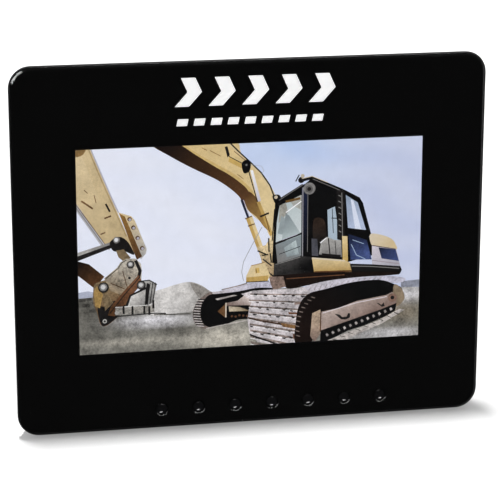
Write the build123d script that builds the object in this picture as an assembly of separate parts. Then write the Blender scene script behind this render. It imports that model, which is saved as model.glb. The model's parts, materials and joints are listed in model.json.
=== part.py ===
from build123d import *
import math
import os

# A seven-inch digital photo frame: a clear front panel with a black printed border, a black bezel with
# seven round push buttons, a display module, its boards and sockets, a rear cover and a fold-out leg.
#
# Everything is modelled lying face up on a bench, in millimetres: X runs across the picture, Y up the
# picture from the middle of the panel, and Z towards the viewer from the panel's front face. A "depth" is a
# distance behind that face. The whole frame is then stood up on its feet and its leg, leaning back by LEAN
# degrees, with +Z up, the picture facing -Y and the origin under the middle of the whole object.

# ---- Overall form ----
WIDTH, HEIGHT, CORNER = 208.0, 164.0, 9.5   # outline of the bezel and its corner radius
LEAN = 10.0                                 # degrees back from upright
LEG_OPEN = 25.0                             # degrees between the open leg and the rear cover
FLOOR_GAP = 0.5                             # the bezel clears the table by this much
FAR = 40.0                                  # a depth beyond the whole frame, for cuts that go right through

# ---- Front panel, its printed border and the bezel ----
LIP = 0.9                                   # width of bezel that shows round the panel
PANEL_EDGE = 0.7                            # polished chamfer round the panel
PANEL_BACK = 2.0                            # depth of the panel's rear face
MASK_FRONT, MASK_BACK, TAPE_BACK = 2.04, 2.16, 2.28
LIP_DEPTH = 1.2                             # the panel stands proud of the bezel's lip by this much
SEAT_DEPTH, SEAT_GAP = 2.3, 0.15            # recess that holds the panel
RIM_DEPTH = 3.6                             # rear face of the bezel, where the cover meets it
TONGUE_DEPTH, TONGUE_WALL = 5.6, 1.4        # locating rib inside the cover's wall
POST_R, PILOT_R = 2.6, 1.25                 # posts for small screws, and the holes that the screws bite

# ---- Display module ----
SCREEN_W, SCREEN_H = 152.4, 91.44           # seven inches across the corners, 15:9
SCREEN_Y = -0.7                             # the picture sits a little below the panel's middle
WINDOW_MARGIN = 0.5
MODULE_W, MODULE_H = 165.0, 104.0
MODULE_FRONT, MODULE_BACK = 2.4, 8.6
SHEET_STEEL = 0.4
CELL_W, CELL_H = 159.6, 98.6
FLEX_W = 32.0
LEAD_X, LEAD_SPACING, LEAD_R, LEAD_DEPTH = 76.9, 1.2, 0.4, 10.3
BRACKET_X, BRACKET_W, BRACKET_T = 48.0, 11.0, 0.8
BRACKET_SCREW_Y = 57.0                      # from the module's middle

# ---- Push buttons ----
BUTTON_COUNT, BUTTON_PITCH = 7, 16.5
BUTTON_X, BUTTON_Y = 8.9, -73.1             # middle of the row
BUTTON_HOLE_R, BUTTON_R = 2.75, 2.42
BUTTON_FACE, BUTTON_DISH, DISH_R = 0.35, 0.4, 2.1
BUTTON_TRAVEL = 0.5
FLANGE_R, FLANGE_FRONT, FLANGE_BACK = 3.3, 3.7, 4.5
STEM_R, STEM_END = 1.3, 6.1
PLUNGER_R, PLUNGER_END = 1.6, 7.9
SWITCH_SIZE, SWITCH_FRONT, SWITCH_BACK = 4.5, 7.2, 9.7
KEY_BOARD_W, KEY_BOARD_H, KEY_BOARD_Y, KEY_BOARD_BACK = 116.0, 9.4, -70.9, 10.7
KEY_POSTS = [(BUTTON_X + side * 2.5 * BUTTON_PITCH, -68.9) for side in (-1, 1)]
CABLE_X, CABLE_W, CABLE_T = 32.5, 6.0, 0.3

# ---- Rear cover ----
SKIN = 1.8
COVER_INSET, COVER_DRAFT = 1.0, 25.0
SHOULDER_DEPTH = 13.0                       # the cover's wide back face
HUMP_W, HUMP_H, HUMP_Y, HUMP_CORNER = 150.0, 116.0, -8.0, 14.0
HUMP_DRAFT = 8.0
HUMP_DEPTH = 22.5                           # the cover's rearmost face
COVER_SCREWS = [(x, y) for x in (-89.0, 0.0, 89.0) for y in (-61.0, 65.0)]
SCREW_SEAT = 10.9                           # depth of the cover screws' heads
KEYHOLE_X, KEYHOLE_Y, KEYHOLE_R = 47.5, 34.5, 3.8
KEYHOLE_SLOT, KEYHOLE_RISE = 4.2, 7.0
VENT_X, VENT_Y, VENT_W, VENT_H = 47.5, 24.0, 26.0, 1.8
VENT_ROWS, VENT_PITCH = 9, 4.4

# ---- Leg and hinge ----
HINGE_Y, HINGE_DEPTH = 24.0, 20.3
PIN_R, PIN_HALF = 1.5, 29.0
PIN_PLAY, PIN_SEAT = 0.06, 0.02             # round the pin in the leg, and in the cover
BARREL_R, BARREL_HALF = 2.7, 22.5
LEG_W, LEG_TIP_W, LEG_T = 40.0, 34.0, 4.0
RECESS_HALF, RECESS_FLOOR, RECESS_TOP = 23.0, 17.2, HINGE_Y + 7.6
HEEL = 6.0                                  # the leg's stop reaches this far past the hinge
STOP_GAP = 0.06
PAD_LENGTH = 9.0
FOOT_X, FOOT_W = 70.0, 16.0
FOOT_FRONT, FOOT_BACK = 6.0, 12.0

# ---- Main board and its sockets, which face +X ----
BOARD_FRONT, BOARD_BACK = 11.9, 13.5
BOARD_W, BOARD_H = 128.0, 84.0
BOARD_SCREWS = [(x, y) for x in (-56.0, 40.0) for y in (-37.0, 37.0)]
MOUTH_X = 73.6                              # the sockets' mouths
JACK_Y, JACK_SIZE, JACK_LENGTH = 25.0, 6.5, 12.5
JACK_BORE_R, JACK_PIN_R, JACK_PIN_LENGTH = 1.95, 0.65, 9.0
MINI_Y, MINI_W, MINI_H, MINI_LENGTH = 12.0, 7.7, 3.9, 9.2
USB_Y, USB_W, USB_H, USB_LENGTH = -4.0, 14.4, 6.8, 14.0
CARD_Y, CARD_W, CARD_H, CARD_LENGTH = -26.5, 26.5, 3.0, 26.0
SHELL_WALL, SHELL_FLOOR = 0.4, 1.0
SOCKET_GAP = 0.35
SWITCH_X, SWITCH_Y, SWITCH_L, SWITCH_T = 62.75, 37.0, 9.0, 4.0
SLIDER_DEPTH, SLIDER_TRAVEL, STEM_T = BOARD_BACK + 2.0, 3.0, 1.2


# ---- Helpers ----
def slab(width, height, front, back, radius=0.0, x=0.0, y=0.0):
    """A plate between two depths, with rounded corners if a radius is given."""
    outline = RectangleRounded(width, height, radius) if radius else Rectangle(width, height)
    return Pos(x, y, -back) * extrude(outline, back - front)


def rod(radius, front, back, x=0.0, y=0.0):
    """A round bar between two depths."""
    return Pos(x, y, -(front + back) / 2) * Cylinder(radius, back - front)


def block(x0, x1, y0, y1, front, back):
    """A box given by its limits."""
    return Pos((x0 + x1) / 2, (y0 + y1) / 2, -(front + back) / 2) * Box(x1 - x0, y1 - y0, back - front)


def centred(x, y, width, height, front, back):
    """A box given by its middle, size and depths."""
    return block(x - width / 2, x + width / 2, y - height / 2, y + height / 2, front, back)


def cross_rod(radius, x0, x1, y, depth):
    """A round bar along X."""
    return Pos((x0 + x1) / 2, y, -depth) * Rot(Y=90) * Cylinder(radius, x1 - x0)


def tapered(width, height, radius, front, back, draft, y=0.0):
    """A block whose sides lean in by draft degrees towards the back."""
    outline = Pos(0, y, -front) * RectangleRounded(width, height, radius)
    return extrude(outline, back - front, dir=(0, 0, -1), taper=draft)


def pan_screw(x, y, head_depth, length, towards_back=False, head_r=2.4, head_h=1.3, shank_r=1.2):
    """A cross-head screw. Its head sits at head_depth, and its shank runs forwards or backwards from it."""
    way = -1 if towards_back else 1
    slot_l, slot_w, slot_t = 1.1 * head_r, 0.25 * head_r, 0.7 * head_h
    head = Pos(0, 0, -way * head_h / 2) * Cylinder(head_r, head_h)
    shank = Pos(0, 0, way * length / 2) * Cylinder(shank_r, length)
    slot = Pos(0, 0, -way * head_h) * Box(slot_l, slot_w, 2 * slot_t)
    return Pos(x, y, -head_depth) * (head + shank - slot - Rot(Z=90) * slot)


def ribbon(points, bend, width, x, thickness):
    """A flat cable of one width that follows points of (Y, depth), with rounded bends."""
    path = FilletPolyline(*[(y, -depth) for y, depth in points], radius=bend)
    strip = trace(path, line_width=thickness)
    return Plane(origin=(x - width / 2, 0, 0), x_dir=(0, 1, 0), z_dir=(1, 0, 0)) * extrude(strip, width)


def button_places():
    middle = (BUTTON_COUNT - 1) / 2
    return [(BUTTON_X + BUTTON_PITCH * (i - middle), BUTTON_Y) for i in range(BUTTON_COUNT)]


def button_holes(radius):
    return [rod(radius, -1, FAR, x, y) for x, y in button_places()]


def bracket_screw_places():
    return [(sx * BRACKET_X, SCREEN_Y + sy * BRACKET_SCREW_Y) for sx in (-1, 1) for sy in (-1, 1)]


def front_edges(shape):
    return shape.faces().sort_by(Axis.Z)[-1].edges()


def back_edges(shape):
    return shape.faces().sort_by(Axis.Z)[0].edges()


# ---- Front panel group ----
def front_panel():
    panel = slab(WIDTH - 2 * LIP, HEIGHT - 2 * LIP, 0, PANEL_BACK, CORNER - LIP)
    panel = chamfer(front_edges(panel), PANEL_EDGE)
    panel -= button_holes(BUTTON_HOLE_R)
    hole_length = math.tau * BUTTON_HOLE_R
    rims = [edge for edge in front_edges(panel) if abs(edge.length - hole_length) < 0.1]
    return chamfer(rims, 0.25)


def panel_mask():
    margin = LIP + PANEL_EDGE / 2
    mask = slab(WIDTH - 2 * margin, HEIGHT - 2 * margin, MASK_FRONT, MASK_BACK, CORNER - margin)
    mask -= slab(SCREEN_W + 2 * WINDOW_MARGIN, SCREEN_H + 2 * WINDOW_MARGIN, 0, FAR, y=SCREEN_Y)
    return mask - button_holes(BUTTON_HOLE_R + 0.1)


def panel_tape():
    margin = 3.0
    tape = slab(WIDTH - 2 * margin, HEIGHT - 2 * margin, MASK_BACK, TAPE_BACK, CORNER - margin)
    tape -= slab(MODULE_W + 4, MODULE_H + 4, 0, FAR, y=SCREEN_Y)
    return tape - button_holes(BUTTON_HOLE_R + 1.5)


def front_bezel():
    bezel = slab(WIDTH, HEIGHT, LIP_DEPTH, RIM_DEPTH, CORNER)
    bezel = fillet(front_edges(bezel), 0.6)
    seat = LIP - SEAT_GAP
    bezel -= slab(WIDTH - 2 * seat, HEIGHT - 2 * seat, 0, SEAT_DEPTH, CORNER - seat)
    outer = COVER_INSET + 2 * SKIN - 0.4
    inner = outer + TONGUE_WALL
    tongue = slab(WIDTH - 2 * outer, HEIGHT - 2 * outer, RIM_DEPTH, TONGUE_DEPTH, CORNER - outer)
    bezel += tongue - slab(WIDTH - 2 * inner, HEIGHT - 2 * inner, 0, FAR, CORNER - inner)
    posts = [(place, 3.4, SCREW_SEAT - 1.5) for place in COVER_SCREWS]
    posts += [(place, POST_R, MODULE_BACK + 0.1) for place in bracket_screw_places()]
    posts += [(place, 2.2, SWITCH_BACK) for place in KEY_POSTS]
    for (x, y), radius, depth in posts:
        bezel += rod(radius, RIM_DEPTH, depth, x, y)
    bezel -= slab(MODULE_W + 1.2, MODULE_H + 1.2, 0, FAR, y=SCREEN_Y)
    lower_edge = SCREEN_Y - MODULE_H / 2
    bezel -= block(-FLEX_W / 2 - 3, FLEX_W / 2 + 3, lower_edge - 2.2, 0, 0, FAR)
    bezel -= block(LEAD_X - 2, LEAD_X + 4, lower_edge - 3.2, 0, 0, FAR)
    for (x, y), radius, depth in posts:
        bezel -= rod(PILOT_R, RIM_DEPTH - 0.6, FAR, x, y)
    return bezel - button_holes(BUTTON_HOLE_R)


# ---- Push buttons and the board behind them ----
def button_cap(x, y):
    """A round cap with a dished face, a flange that keeps it in the bezel, and a stem behind."""
    cap = rod(BUTTON_R, BUTTON_FACE, FLANGE_BACK)
    cap = fillet(front_edges(cap), 0.2)
    ball_r = (DISH_R ** 2 + BUTTON_DISH ** 2) / (2 * BUTTON_DISH)
    cap -= Pos(0, 0, ball_r - BUTTON_FACE - BUTTON_DISH) * Rot(X=90) * Sphere(ball_r)
    cap += rod(FLANGE_R, FLANGE_FRONT, FLANGE_BACK) + rod(STEM_R, FLANGE_BACK, STEM_END)
    return Pos(x, y, 0) * cap


def switch_plunger(x, y):
    return rod(PLUNGER_R, STEM_END, PLUNGER_END, x, y)


def key_switches():
    """The seven tactile switches, each bored for its plunger and the plunger's travel."""
    switch = slab(SWITCH_SIZE, SWITCH_SIZE, SWITCH_FRONT, SWITCH_BACK, 0.3)
    switch -= rod(PLUNGER_R + 0.1, 0, PLUNGER_END + BUTTON_TRAVEL + 0.4)
    return Compound([Pos(x, y, 0) * switch for x, y in button_places()])


def key_board():
    board = slab(KEY_BOARD_W, KEY_BOARD_H, SWITCH_BACK, KEY_BOARD_BACK, 0.8, BUTTON_X, KEY_BOARD_Y)
    return board - [rod(PILOT_R + 0.1, 0, FAR, x, y) for x, y in KEY_POSTS]


def key_screws():
    return Compound([pan_screw(x, y, KEY_BOARD_BACK, 4.5, head_r=1.9, head_h=0.4, shank_r=1.15)
                     for x, y in KEY_POSTS])


# ---- Display module ----
def display_shell():
    """The module's folded steel front: a rim round the glass, and four walls."""
    shell = slab(MODULE_W, MODULE_H, MODULE_FRONT, MODULE_BACK, 0.8)
    shell -= slab(MODULE_W - 2 * SHEET_STEEL, MODULE_H - 2 * SHEET_STEEL, MODULE_FRONT + SHEET_STEEL, FAR, 0.4)
    shell -= slab(SCREEN_W + 1.6, SCREEN_H + 1.6, 0, FAR)
    shell -= block(-FLEX_W / 2 - 3, FLEX_W / 2 + 3, -MODULE_H / 2 - 2, -MODULE_H / 2 + 2, 2.95, 3.95)
    shell -= lead_slot()
    return Pos(0, SCREEN_Y) * shell


def lead_slot():
    """The notch where the lamp lead leaves the module."""
    return block(LEAD_X - 1, LEAD_X + LEAD_SPACING + 1, -MODULE_H / 2 - 2, -MODULE_H / 2 + 3.6, 5.2, FAR)


def display_glass():
    return slab(CELL_W, CELL_H, 2.85, 4.2, y=SCREEN_Y)


def optical_films():
    return slab(CELL_W, CELL_H, 4.25, 4.85, y=SCREEN_Y)


def light_guide():
    return slab(CELL_W, CELL_H - 2.6, 4.9, 7.1, y=SCREEN_Y + 1.3)


def reflector_sheet():
    return slab(CELL_W, CELL_H, 7.15, 7.35, y=SCREEN_Y)


def backlight_housing():
    """The white plastic tray that holds the glass, films and light guide in a stack."""
    tray = slab(MODULE_W - 1.0, MODULE_H - 1.0, 2.85, 8.55, 0.4)
    tray -= slab(CELL_W + 0.4, CELL_H + 0.8, 0, 7.4)
    tray -= block(-FLEX_W / 2 - 3, FLEX_W / 2 + 3, -MODULE_H, -CELL_H / 2 + 2, 2.0, 4.1)
    tray -= lead_slot()
    return Pos(0, SCREEN_Y) * tray


def backlight_lamps():
    """The strip of white lamps along the light guide's lower edge, with its carrier."""
    carrier = block(-76, 76, -49.2, -48.7, 4.95, 7.05)
    lamps = [block(x - 1.5, x + 1.5, -48.7, -48.1, 5.2, 6.8) for x in range(-66, 67, 12)]
    return Pos(0, SCREEN_Y) * (carrier + lamps)


def display_bracket(side):
    """A steel strap across the back of the module, screwed to two posts on the bezel."""
    strap = slab(BRACKET_W, 2 * BRACKET_SCREW_Y + 7, MODULE_BACK + 0.1, MODULE_BACK + 0.1 + BRACKET_T, 2.5,
                 side * BRACKET_X, SCREEN_Y)
    return strap - [rod(PILOT_R + 0.15, 0, FAR, x, y) for x, y in bracket_screw_places()]


def bracket_screws():
    seat = MODULE_BACK + 0.1 + BRACKET_T
    return Compound([pan_screw(x, y, seat, 4.0, head_h=1.0) for x, y in bracket_screw_places()])


def display_flex():
    """The display's flexible cable, round the module's lower edge to the main board."""
    points = [(-49.7, 3.5), (-53.4, 3.5), (-53.4, 9.9), (-36.0, 9.9), (-31.0, 11.1), (-26.5, 11.1)]
    return Pos(0, SCREEN_Y) * ribbon(points, 0.8, FLEX_W, 0, 0.2)


def lamp_lead():
    """Two thin wires from the lamp strip to a connector on the main board."""
    wires = []
    for i in range(2):
        x, spread = LEAD_X + i * LEAD_SPACING, 1.2 * i
        points = [(x, -49.0, -6.0), (x, -53.6, -6.0), (x, -53.6, -LEAD_DEPTH), (x, -30.0 - spread, -LEAD_DEPTH),
                  (66.0, -24.0 - spread, -LEAD_DEPTH), (62.2, -24.0 - spread, -LEAD_DEPTH)]
        path = FilletPolyline(*points, radius=0.9)
        wires.append(sweep(Plane(path @ 0, z_dir=path % 0) * Circle(LEAD_R), path))
    return Pos(0, SCREEN_Y) * Compound(wires)


# ---- Main board ----
def main_board():
    board = slab(BOARD_W, BOARD_H, BOARD_FRONT, BOARD_BACK, 2.0)
    return board - [rod(PILOT_R + 0.15, 0, FAR, x, y) for x, y in BOARD_SCREWS]


def chip(width, height, thickness, x, y):
    """A flat package with a round mark moulded beside its first leg."""
    body = slab(width, height, BOARD_BACK, BOARD_BACK + thickness, 0, x, y)
    return body - rod(0.5, BOARD_BACK + thickness - 0.15, FAR, x - width / 2 + 1.4, y + height / 2 - 1.4)


def processor_chip():
    """A flat square package with legs on its four sides."""
    x, y, size = 0.0, 8.0, 20.0
    leg_l, leg_w, leg_t = 1.2, 0.45, 0.4
    body = chip(size, size, 1.4, x, y)
    legs = []
    for i in range(-8, 9):
        for quarter in range(4):
            leg = Pos(i, (size + leg_l) / 2, -BOARD_BACK - leg_t / 2) * Box(leg_w, leg_l, leg_t)
            legs.append(Pos(x, y, 0) * Rot(Z=90 * quarter) * leg)
    return body + legs


def memory_chips():
    return Compound([chip(11, 18, 1.2, -32, 12), chip(11, 18, 1.2, -32, -12), chip(8, 5, 1.5, 20, -18)])


def power_inductors():
    places = [(52, 34), (52, 8), (-46, 28)]
    return Compound([slab(6.5, 6.5, BOARD_BACK, BOARD_BACK + 3.0, 1.2, x, y) for x, y in places])


def board_capacitors():
    places = [(43, 24), (43, 15), (43, 5), (43, -4), (-46, -28)]
    return Compound([rod(2.5, BOARD_BACK, BOARD_BACK + 5.4, x, y) for x, y in places])


def clock_crystal():
    return slab(11, 4.6, BOARD_BACK, BOARD_BACK + 1.6, 2.2, 0, -12)


def board_screws():
    return Compound([pan_screw(x, y, BOARD_FRONT, 5.0, towards_back=True, head_r=2.2, head_h=1.1)
                     for x, y in BOARD_SCREWS])


def key_cable():
    """The flat cable from the button board to the main board."""
    points = [(-71.6, 9.0), (-47.5, 9.0), (-47.5, 14.4), (-38.6, 14.4)]
    return ribbon(points, 0.9, CABLE_W, CABLE_X, CABLE_T)


def cable_connectors():
    """The four small connectors: both ends of the key cable, the display's and the lamps'."""
    width = CABLE_W + 2.0
    key_end = centred(CABLE_X, -71.6, width, 4.4, 8.2, SWITCH_BACK)
    key_end -= centred(CABLE_X, -69.8, CABLE_W + 0.4, 4.4, 8.8, 9.2)
    board_end = centred(CABLE_X, -39.2, width, 5.0, BOARD_BACK, BOARD_BACK + 1.6)
    board_end -= centred(CABLE_X, -41.0, CABLE_W + 0.4, 5.2, 14.2, 14.6)
    flex_end = centred(0, SCREEN_Y - 26.5, FLEX_W + 4, 5.0, 10.3, BOARD_FRONT)
    flex_end -= centred(0, SCREEN_Y - 29.0, FLEX_W + 0.4, 5.4, 10.95, 11.25)
    lead_y = SCREEN_Y - 24.6
    lamp_end = centred(60.0, lead_y, 4.6, 5.0, LEAD_DEPTH - 0.9, BOARD_FRONT)
    lamp_end -= centred(62.0, lead_y, 3.0, 3.2, LEAD_DEPTH - 0.45, LEAD_DEPTH + 0.45)
    return Compound([key_end, board_end, flex_end, lamp_end])


# ---- Sockets and the power switch ----
def dc_jack():
    """A round low-voltage inlet for a 3.5 mm plug."""
    body = block(MOUTH_X - JACK_LENGTH, MOUTH_X, JACK_Y - JACK_SIZE / 2, JACK_Y + JACK_SIZE / 2,
                 BOARD_BACK, BOARD_BACK + JACK_SIZE)
    floor_x = MOUTH_X - JACK_PIN_LENGTH - 0.5
    return body - cross_rod(JACK_BORE_R, floor_x, MOUTH_X + 1, JACK_Y, BOARD_BACK + JACK_SIZE / 2)


def dc_jack_pin():
    floor_x = MOUTH_X - JACK_PIN_LENGTH - 0.5
    return cross_rod(JACK_PIN_R, floor_x, floor_x + JACK_PIN_LENGTH, JACK_Y, BOARD_BACK + JACK_SIZE / 2)


def socket_shell(y, width, height, length):
    """A folded metal socket, open at its mouth."""
    outer = block(MOUTH_X - length, MOUTH_X, y - width / 2, y + width / 2, BOARD_BACK, BOARD_BACK + height)
    inner = block(MOUTH_X - length + SHELL_FLOOR, MOUTH_X + 1, y - width / 2 + SHELL_WALL,
                  y + width / 2 - SHELL_WALL, BOARD_BACK + SHELL_WALL, BOARD_BACK + height - SHELL_WALL)
    return outer - inner


def usb_socket():
    return socket_shell(USB_Y, USB_W, USB_H, USB_LENGTH)


def usb_tongue():
    middle = BOARD_BACK + USB_H / 2
    return block(MOUTH_X - USB_LENGTH + SHELL_FLOOR, MOUTH_X - 1.0, USB_Y - 5.6, USB_Y + 5.6,
                 middle - 1.9, middle - 0.1)


def mini_usb_socket():
    """The smaller socket, with its two rear corners cut off so that a plug fits one way only."""
    shell = socket_shell(MINI_Y, MINI_W, MINI_H, MINI_LENGTH)
    corners = [Pos(MOUTH_X, MINI_Y + side * MINI_W / 2, -BOARD_BACK - MINI_H) * Rot(X=45) * Box(30, 1.6, 1.6)
               for side in (-1, 1)]
    return shell - corners


def mini_usb_tongue():
    middle = BOARD_BACK + MINI_H / 2
    return block(MOUTH_X - MINI_LENGTH + SHELL_FLOOR, MOUTH_X - 1.2, MINI_Y - 2.4, MINI_Y + 2.4,
                 middle - 0.5, middle + 0.5)


def card_socket():
    return socket_shell(CARD_Y, CARD_W, CARD_H, CARD_LENGTH)


def card_contacts():
    """Nine springy contacts in a row across the card slot's floor."""
    front = BOARD_BACK + SHELL_WALL
    return Compound([block(MOUTH_X - 24.5, MOUTH_X - 15, CARD_Y + 2.5 * i - 0.6, CARD_Y + 2.5 * i + 0.6,
                           front, front + 0.4) for i in range(-4, 5)])


def power_switch():
    body = centred(SWITCH_X, SWITCH_Y, 4.5, SWITCH_L, BOARD_BACK, BOARD_BACK + SWITCH_T)
    slot_half = STEM_T / 2 + 0.3
    return body - centred(SWITCH_X + 2.0, SWITCH_Y, 3.5, SLIDER_TRAVEL + 3.0,
                          SLIDER_DEPTH - slot_half, SLIDER_DEPTH + slot_half)


def power_slider():
    """The switch's stem and finger pad, at the lower end of its travel."""
    y = SWITCH_Y - SLIDER_TRAVEL / 2
    stem = block(SWITCH_X + 0.6, 75.6, y - 1.0, y + 1.0, SLIDER_DEPTH - STEM_T / 2, SLIDER_DEPTH + STEM_T / 2)
    pad = centred(76.1, y, 1.8, 3.8, SLIDER_DEPTH - 1.4, SLIDER_DEPTH + 1.4)
    pad = fillet(pad.faces().sort_by(Axis.X)[-1].edges(), 0.3)
    grooves = [centred(77.0, y + step, 0.7, 0.4, 0, FAR) for step in (-0.9, 0.0, 0.9)]
    return stem + pad - grooves


# ---- Rear cover ----
def cover_form(skin):
    """The cover's outer form, or with a skin the form of the space inside it."""
    side = COVER_INSET + skin / math.cos(math.radians(COVER_DRAFT))
    base = SHOULDER_DEPTH - skin
    shoulder = tapered(WIDTH - 2 * side, HEIGHT - 2 * side, CORNER - side, RIM_DEPTH, base, COVER_DRAFT)
    hump_draft = math.radians(HUMP_DRAFT)
    grow = skin * math.tan(hump_draft) - skin / math.cos(hump_draft)
    hump = tapered(HUMP_W + 2 * grow, HUMP_H + 2 * grow, HUMP_CORNER + grow, base, HUMP_DEPTH - skin,
                   HUMP_DRAFT, HUMP_Y)
    if not skin:
        shoulder = fillet(back_edges(shoulder), 2.0)
        hump = fillet(back_edges(hump), 2.2)
    return shoulder + hump


def vent_slots():
    """Rows of cooling slots beside the leg."""
    slot = Pos(0, 0, -HUMP_DEPTH - 1) * extrude(SlotOverall(VENT_W, VENT_H), SKIN + 3)
    return [Pos(side * VENT_X, VENT_Y - VENT_PITCH * row, 0) * slot
            for side in (-1, 1) for row in range(VENT_ROWS)]


def keyholes():
    """Two wall-hanging holes: a round entry with a narrower slot above it."""
    front = HUMP_DEPTH - SKIN - 1
    cuts = []
    for side in (-1, 1):
        x = side * KEYHOLE_X
        cuts.append(rod(KEYHOLE_R, front, FAR, x, KEYHOLE_Y))
        cuts.append(rod(KEYHOLE_SLOT / 2, front, FAR, x, KEYHOLE_Y + KEYHOLE_RISE))
        cuts.append(block(x - KEYHOLE_SLOT / 2, x + KEYHOLE_SLOT / 2, KEYHOLE_Y, KEYHOLE_Y + KEYHOLE_RISE,
                          front, FAR))
    return cuts


def socket_openings():
    """Cut-outs in the hump's +X side, one for each socket and one for the switch's slider."""
    inside, outside = 58.0, 80.0
    sockets = [(JACK_Y, JACK_SIZE, JACK_SIZE), (MINI_Y, MINI_W, MINI_H), (USB_Y, USB_W, USB_H),
               (CARD_Y, CARD_W, CARD_H)]
    cuts = [block(inside, outside, y - width / 2 - SOCKET_GAP, y + width / 2 + SOCKET_GAP,
                  BOARD_BACK - SOCKET_GAP, BOARD_BACK + height + SOCKET_GAP) for y, width, height in sockets]
    slot_half = SLIDER_TRAVEL / 2 + 1.4
    cuts.append(block(SWITCH_X + 3.2, outside, SWITCH_Y - slot_half, SWITCH_Y + slot_half,
                      SLIDER_DEPTH - 1.0, SLIDER_DEPTH + 1.0))
    return cuts


def rear_cover():
    form, cavity = cover_form(0.0), cover_form(SKIN)
    tub_half = RECESS_HALF + SKIN
    cavity -= block(-tub_half, tub_half, -90, RECESS_TOP + SKIN, RECESS_FLOOR - SKIN, FAR)
    for side in (-1, 1):
        inner, outer = sorted((side * tub_half, side * (PIN_HALF + 2.0)))
        cavity -= block(inner, outer, HINGE_Y - 4.5, HINGE_Y + 4.5, RECESS_FLOOR - SKIN, FAR)
    for x, y in BOARD_SCREWS:
        cavity -= rod(3.0, BOARD_BACK, FAR, x, y)
    for x, y in COVER_SCREWS:
        cavity -= rod(4.2, SCREW_SEAT - 1.4, FAR, x, y)
    cover = form - cavity
    cover -= block(-RECESS_HALF, RECESS_HALF, -90, RECESS_TOP, RECESS_FLOOR, FAR)
    cover -= cross_rod(PIN_R + PIN_SEAT, -PIN_HALF - 0.5, PIN_HALF + 0.5, HINGE_Y, HINGE_DEPTH)
    cover -= [rod(PILOT_R, BOARD_BACK - 1, BOARD_BACK + 5.4, x, y) for x, y in BOARD_SCREWS]
    cover -= [rod(1.45, 0, FAR, x, y) + rod(2.9, SCREW_SEAT, FAR, x, y) for x, y in COVER_SCREWS]
    return cover - socket_openings() - vent_slots() - keyholes()


def cover_screws():
    return Compound([pan_screw(x, y, SCREW_SEAT, 6.0) for x, y in COVER_SCREWS])


# ---- Leg, hinge and feet ----
def floor_level():
    """Height of the table under the stood-up frame, measured from the panel's middle."""
    lean = math.radians(LEAN)
    return -(HEIGHT / 2 * math.cos(lean) + RIM_DEPTH * math.sin(lean) + FLOOR_GAP)


def table_block():
    """Everything below the table, in the bench frame."""
    return Rot(X=LEAN - 90) * Pos(0, 0, floor_level() - 50) * Box(400, 400, 100)


def leg_tip():
    """Y of the folded leg's end face, so that the open leg's pad reaches the table."""
    lean = math.radians(LEAN)
    hinge_height = HINGE_Y * math.cos(lean) - HINGE_DEPTH * math.sin(lean) - floor_level()
    length = hinge_height / math.cos(math.radians(LEG_OPEN - LEAN))
    return HINGE_Y - length + PAD_LENGTH / 2


def open_leg(shape):
    """Turns a folded leg piece about the hinge to the open position."""
    return Pos(0, HINGE_Y, -HINGE_DEPTH) * Rot(X=LEG_OPEN) * Pos(0, -HINGE_Y, HINGE_DEPTH) * shape


def leg_tongue(play):
    """The thin end of the leg that the pad is pushed on to."""
    return centred(0, leg_tip(), 24 + play, 5 + play, HINGE_DEPTH - 1 - play / 2, HINGE_DEPTH + 1 + play / 2)


def stand_leg():
    """The leg: a tapered plate with grooves, a barrel on the hinge pin, and a heel that stops it."""
    inner, outer, tip = HINGE_DEPTH - LEG_T / 2, HINGE_DEPTH + LEG_T / 2, leg_tip()
    outline = Polygon((-LEG_W / 2, HINGE_Y), (-LEG_TIP_W / 2, tip), (LEG_TIP_W / 2, tip), (LEG_W / 2, HINGE_Y),
                      align=None)
    plate = Pos(0, 0, -outer) * extrude(outline, LEG_T)
    plate = fillet([*front_edges(plate), *back_edges(plate)], 0.7)
    groove_l, groove_y = HINGE_Y - tip - 34, (HINGE_Y + tip) / 2 + 2
    for x in (-10.0, 0.0, 10.0):
        plate -= Pos(x, groove_y, -outer) * extrude(RectangleRounded(7.0, groove_l, 2.5), 1.4)
    swing = math.radians(LEG_OPEN)
    heel_face = (HINGE_DEPTH - RECESS_FLOOR - STOP_GAP - HEEL * math.sin(swing)) / math.cos(swing)
    heel = block(-LEG_W / 2, LEG_W / 2, HINGE_Y - 1, HINGE_Y + HEEL, HINGE_DEPTH - heel_face, outer)
    barrel = cross_rod(BARREL_R, -BARREL_HALF, BARREL_HALF, HINGE_Y, HINGE_DEPTH)
    leg = plate + heel + barrel + leg_tongue(0.0)
    return open_leg(leg - cross_rod(PIN_R + PIN_PLAY, -FAR, FAR, HINGE_Y, HINGE_DEPTH))


def leg_pad():
    """The rubber shoe on the leg's tip, ending flat on the table."""
    tip, proud = leg_tip(), 0.6
    pad = centred(0, tip - PAD_LENGTH / 2, LEG_TIP_W + 2 * proud, PAD_LENGTH,
                  HINGE_DEPTH - LEG_T / 2 - proud, HINGE_DEPTH + LEG_T / 2 + proud)
    pad = fillet(pad.edges().filter_by(Axis.Y), 1.0)
    return open_leg(pad - leg_tongue(0.1)) - table_block()


def hinge_pin():
    return cross_rod(PIN_R, -PIN_HALF, PIN_HALF, HINGE_Y, HINGE_DEPTH)


def hinge_washers():
    """A thin friction washer between each end of the leg's barrel and the recess wall."""
    washers = []
    for side in (-1, 1):
        near, far = sorted((side * (BARREL_HALF + 0.04), side * (RECESS_HALF - 0.02)))
        ring = cross_rod(BARREL_R, near, far, HINGE_Y, HINGE_DEPTH)
        washers.append(ring - cross_rod(PIN_R + PIN_PLAY, -FAR, FAR, HINGE_Y, HINGE_DEPTH))
    return Compound(washers)


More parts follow.
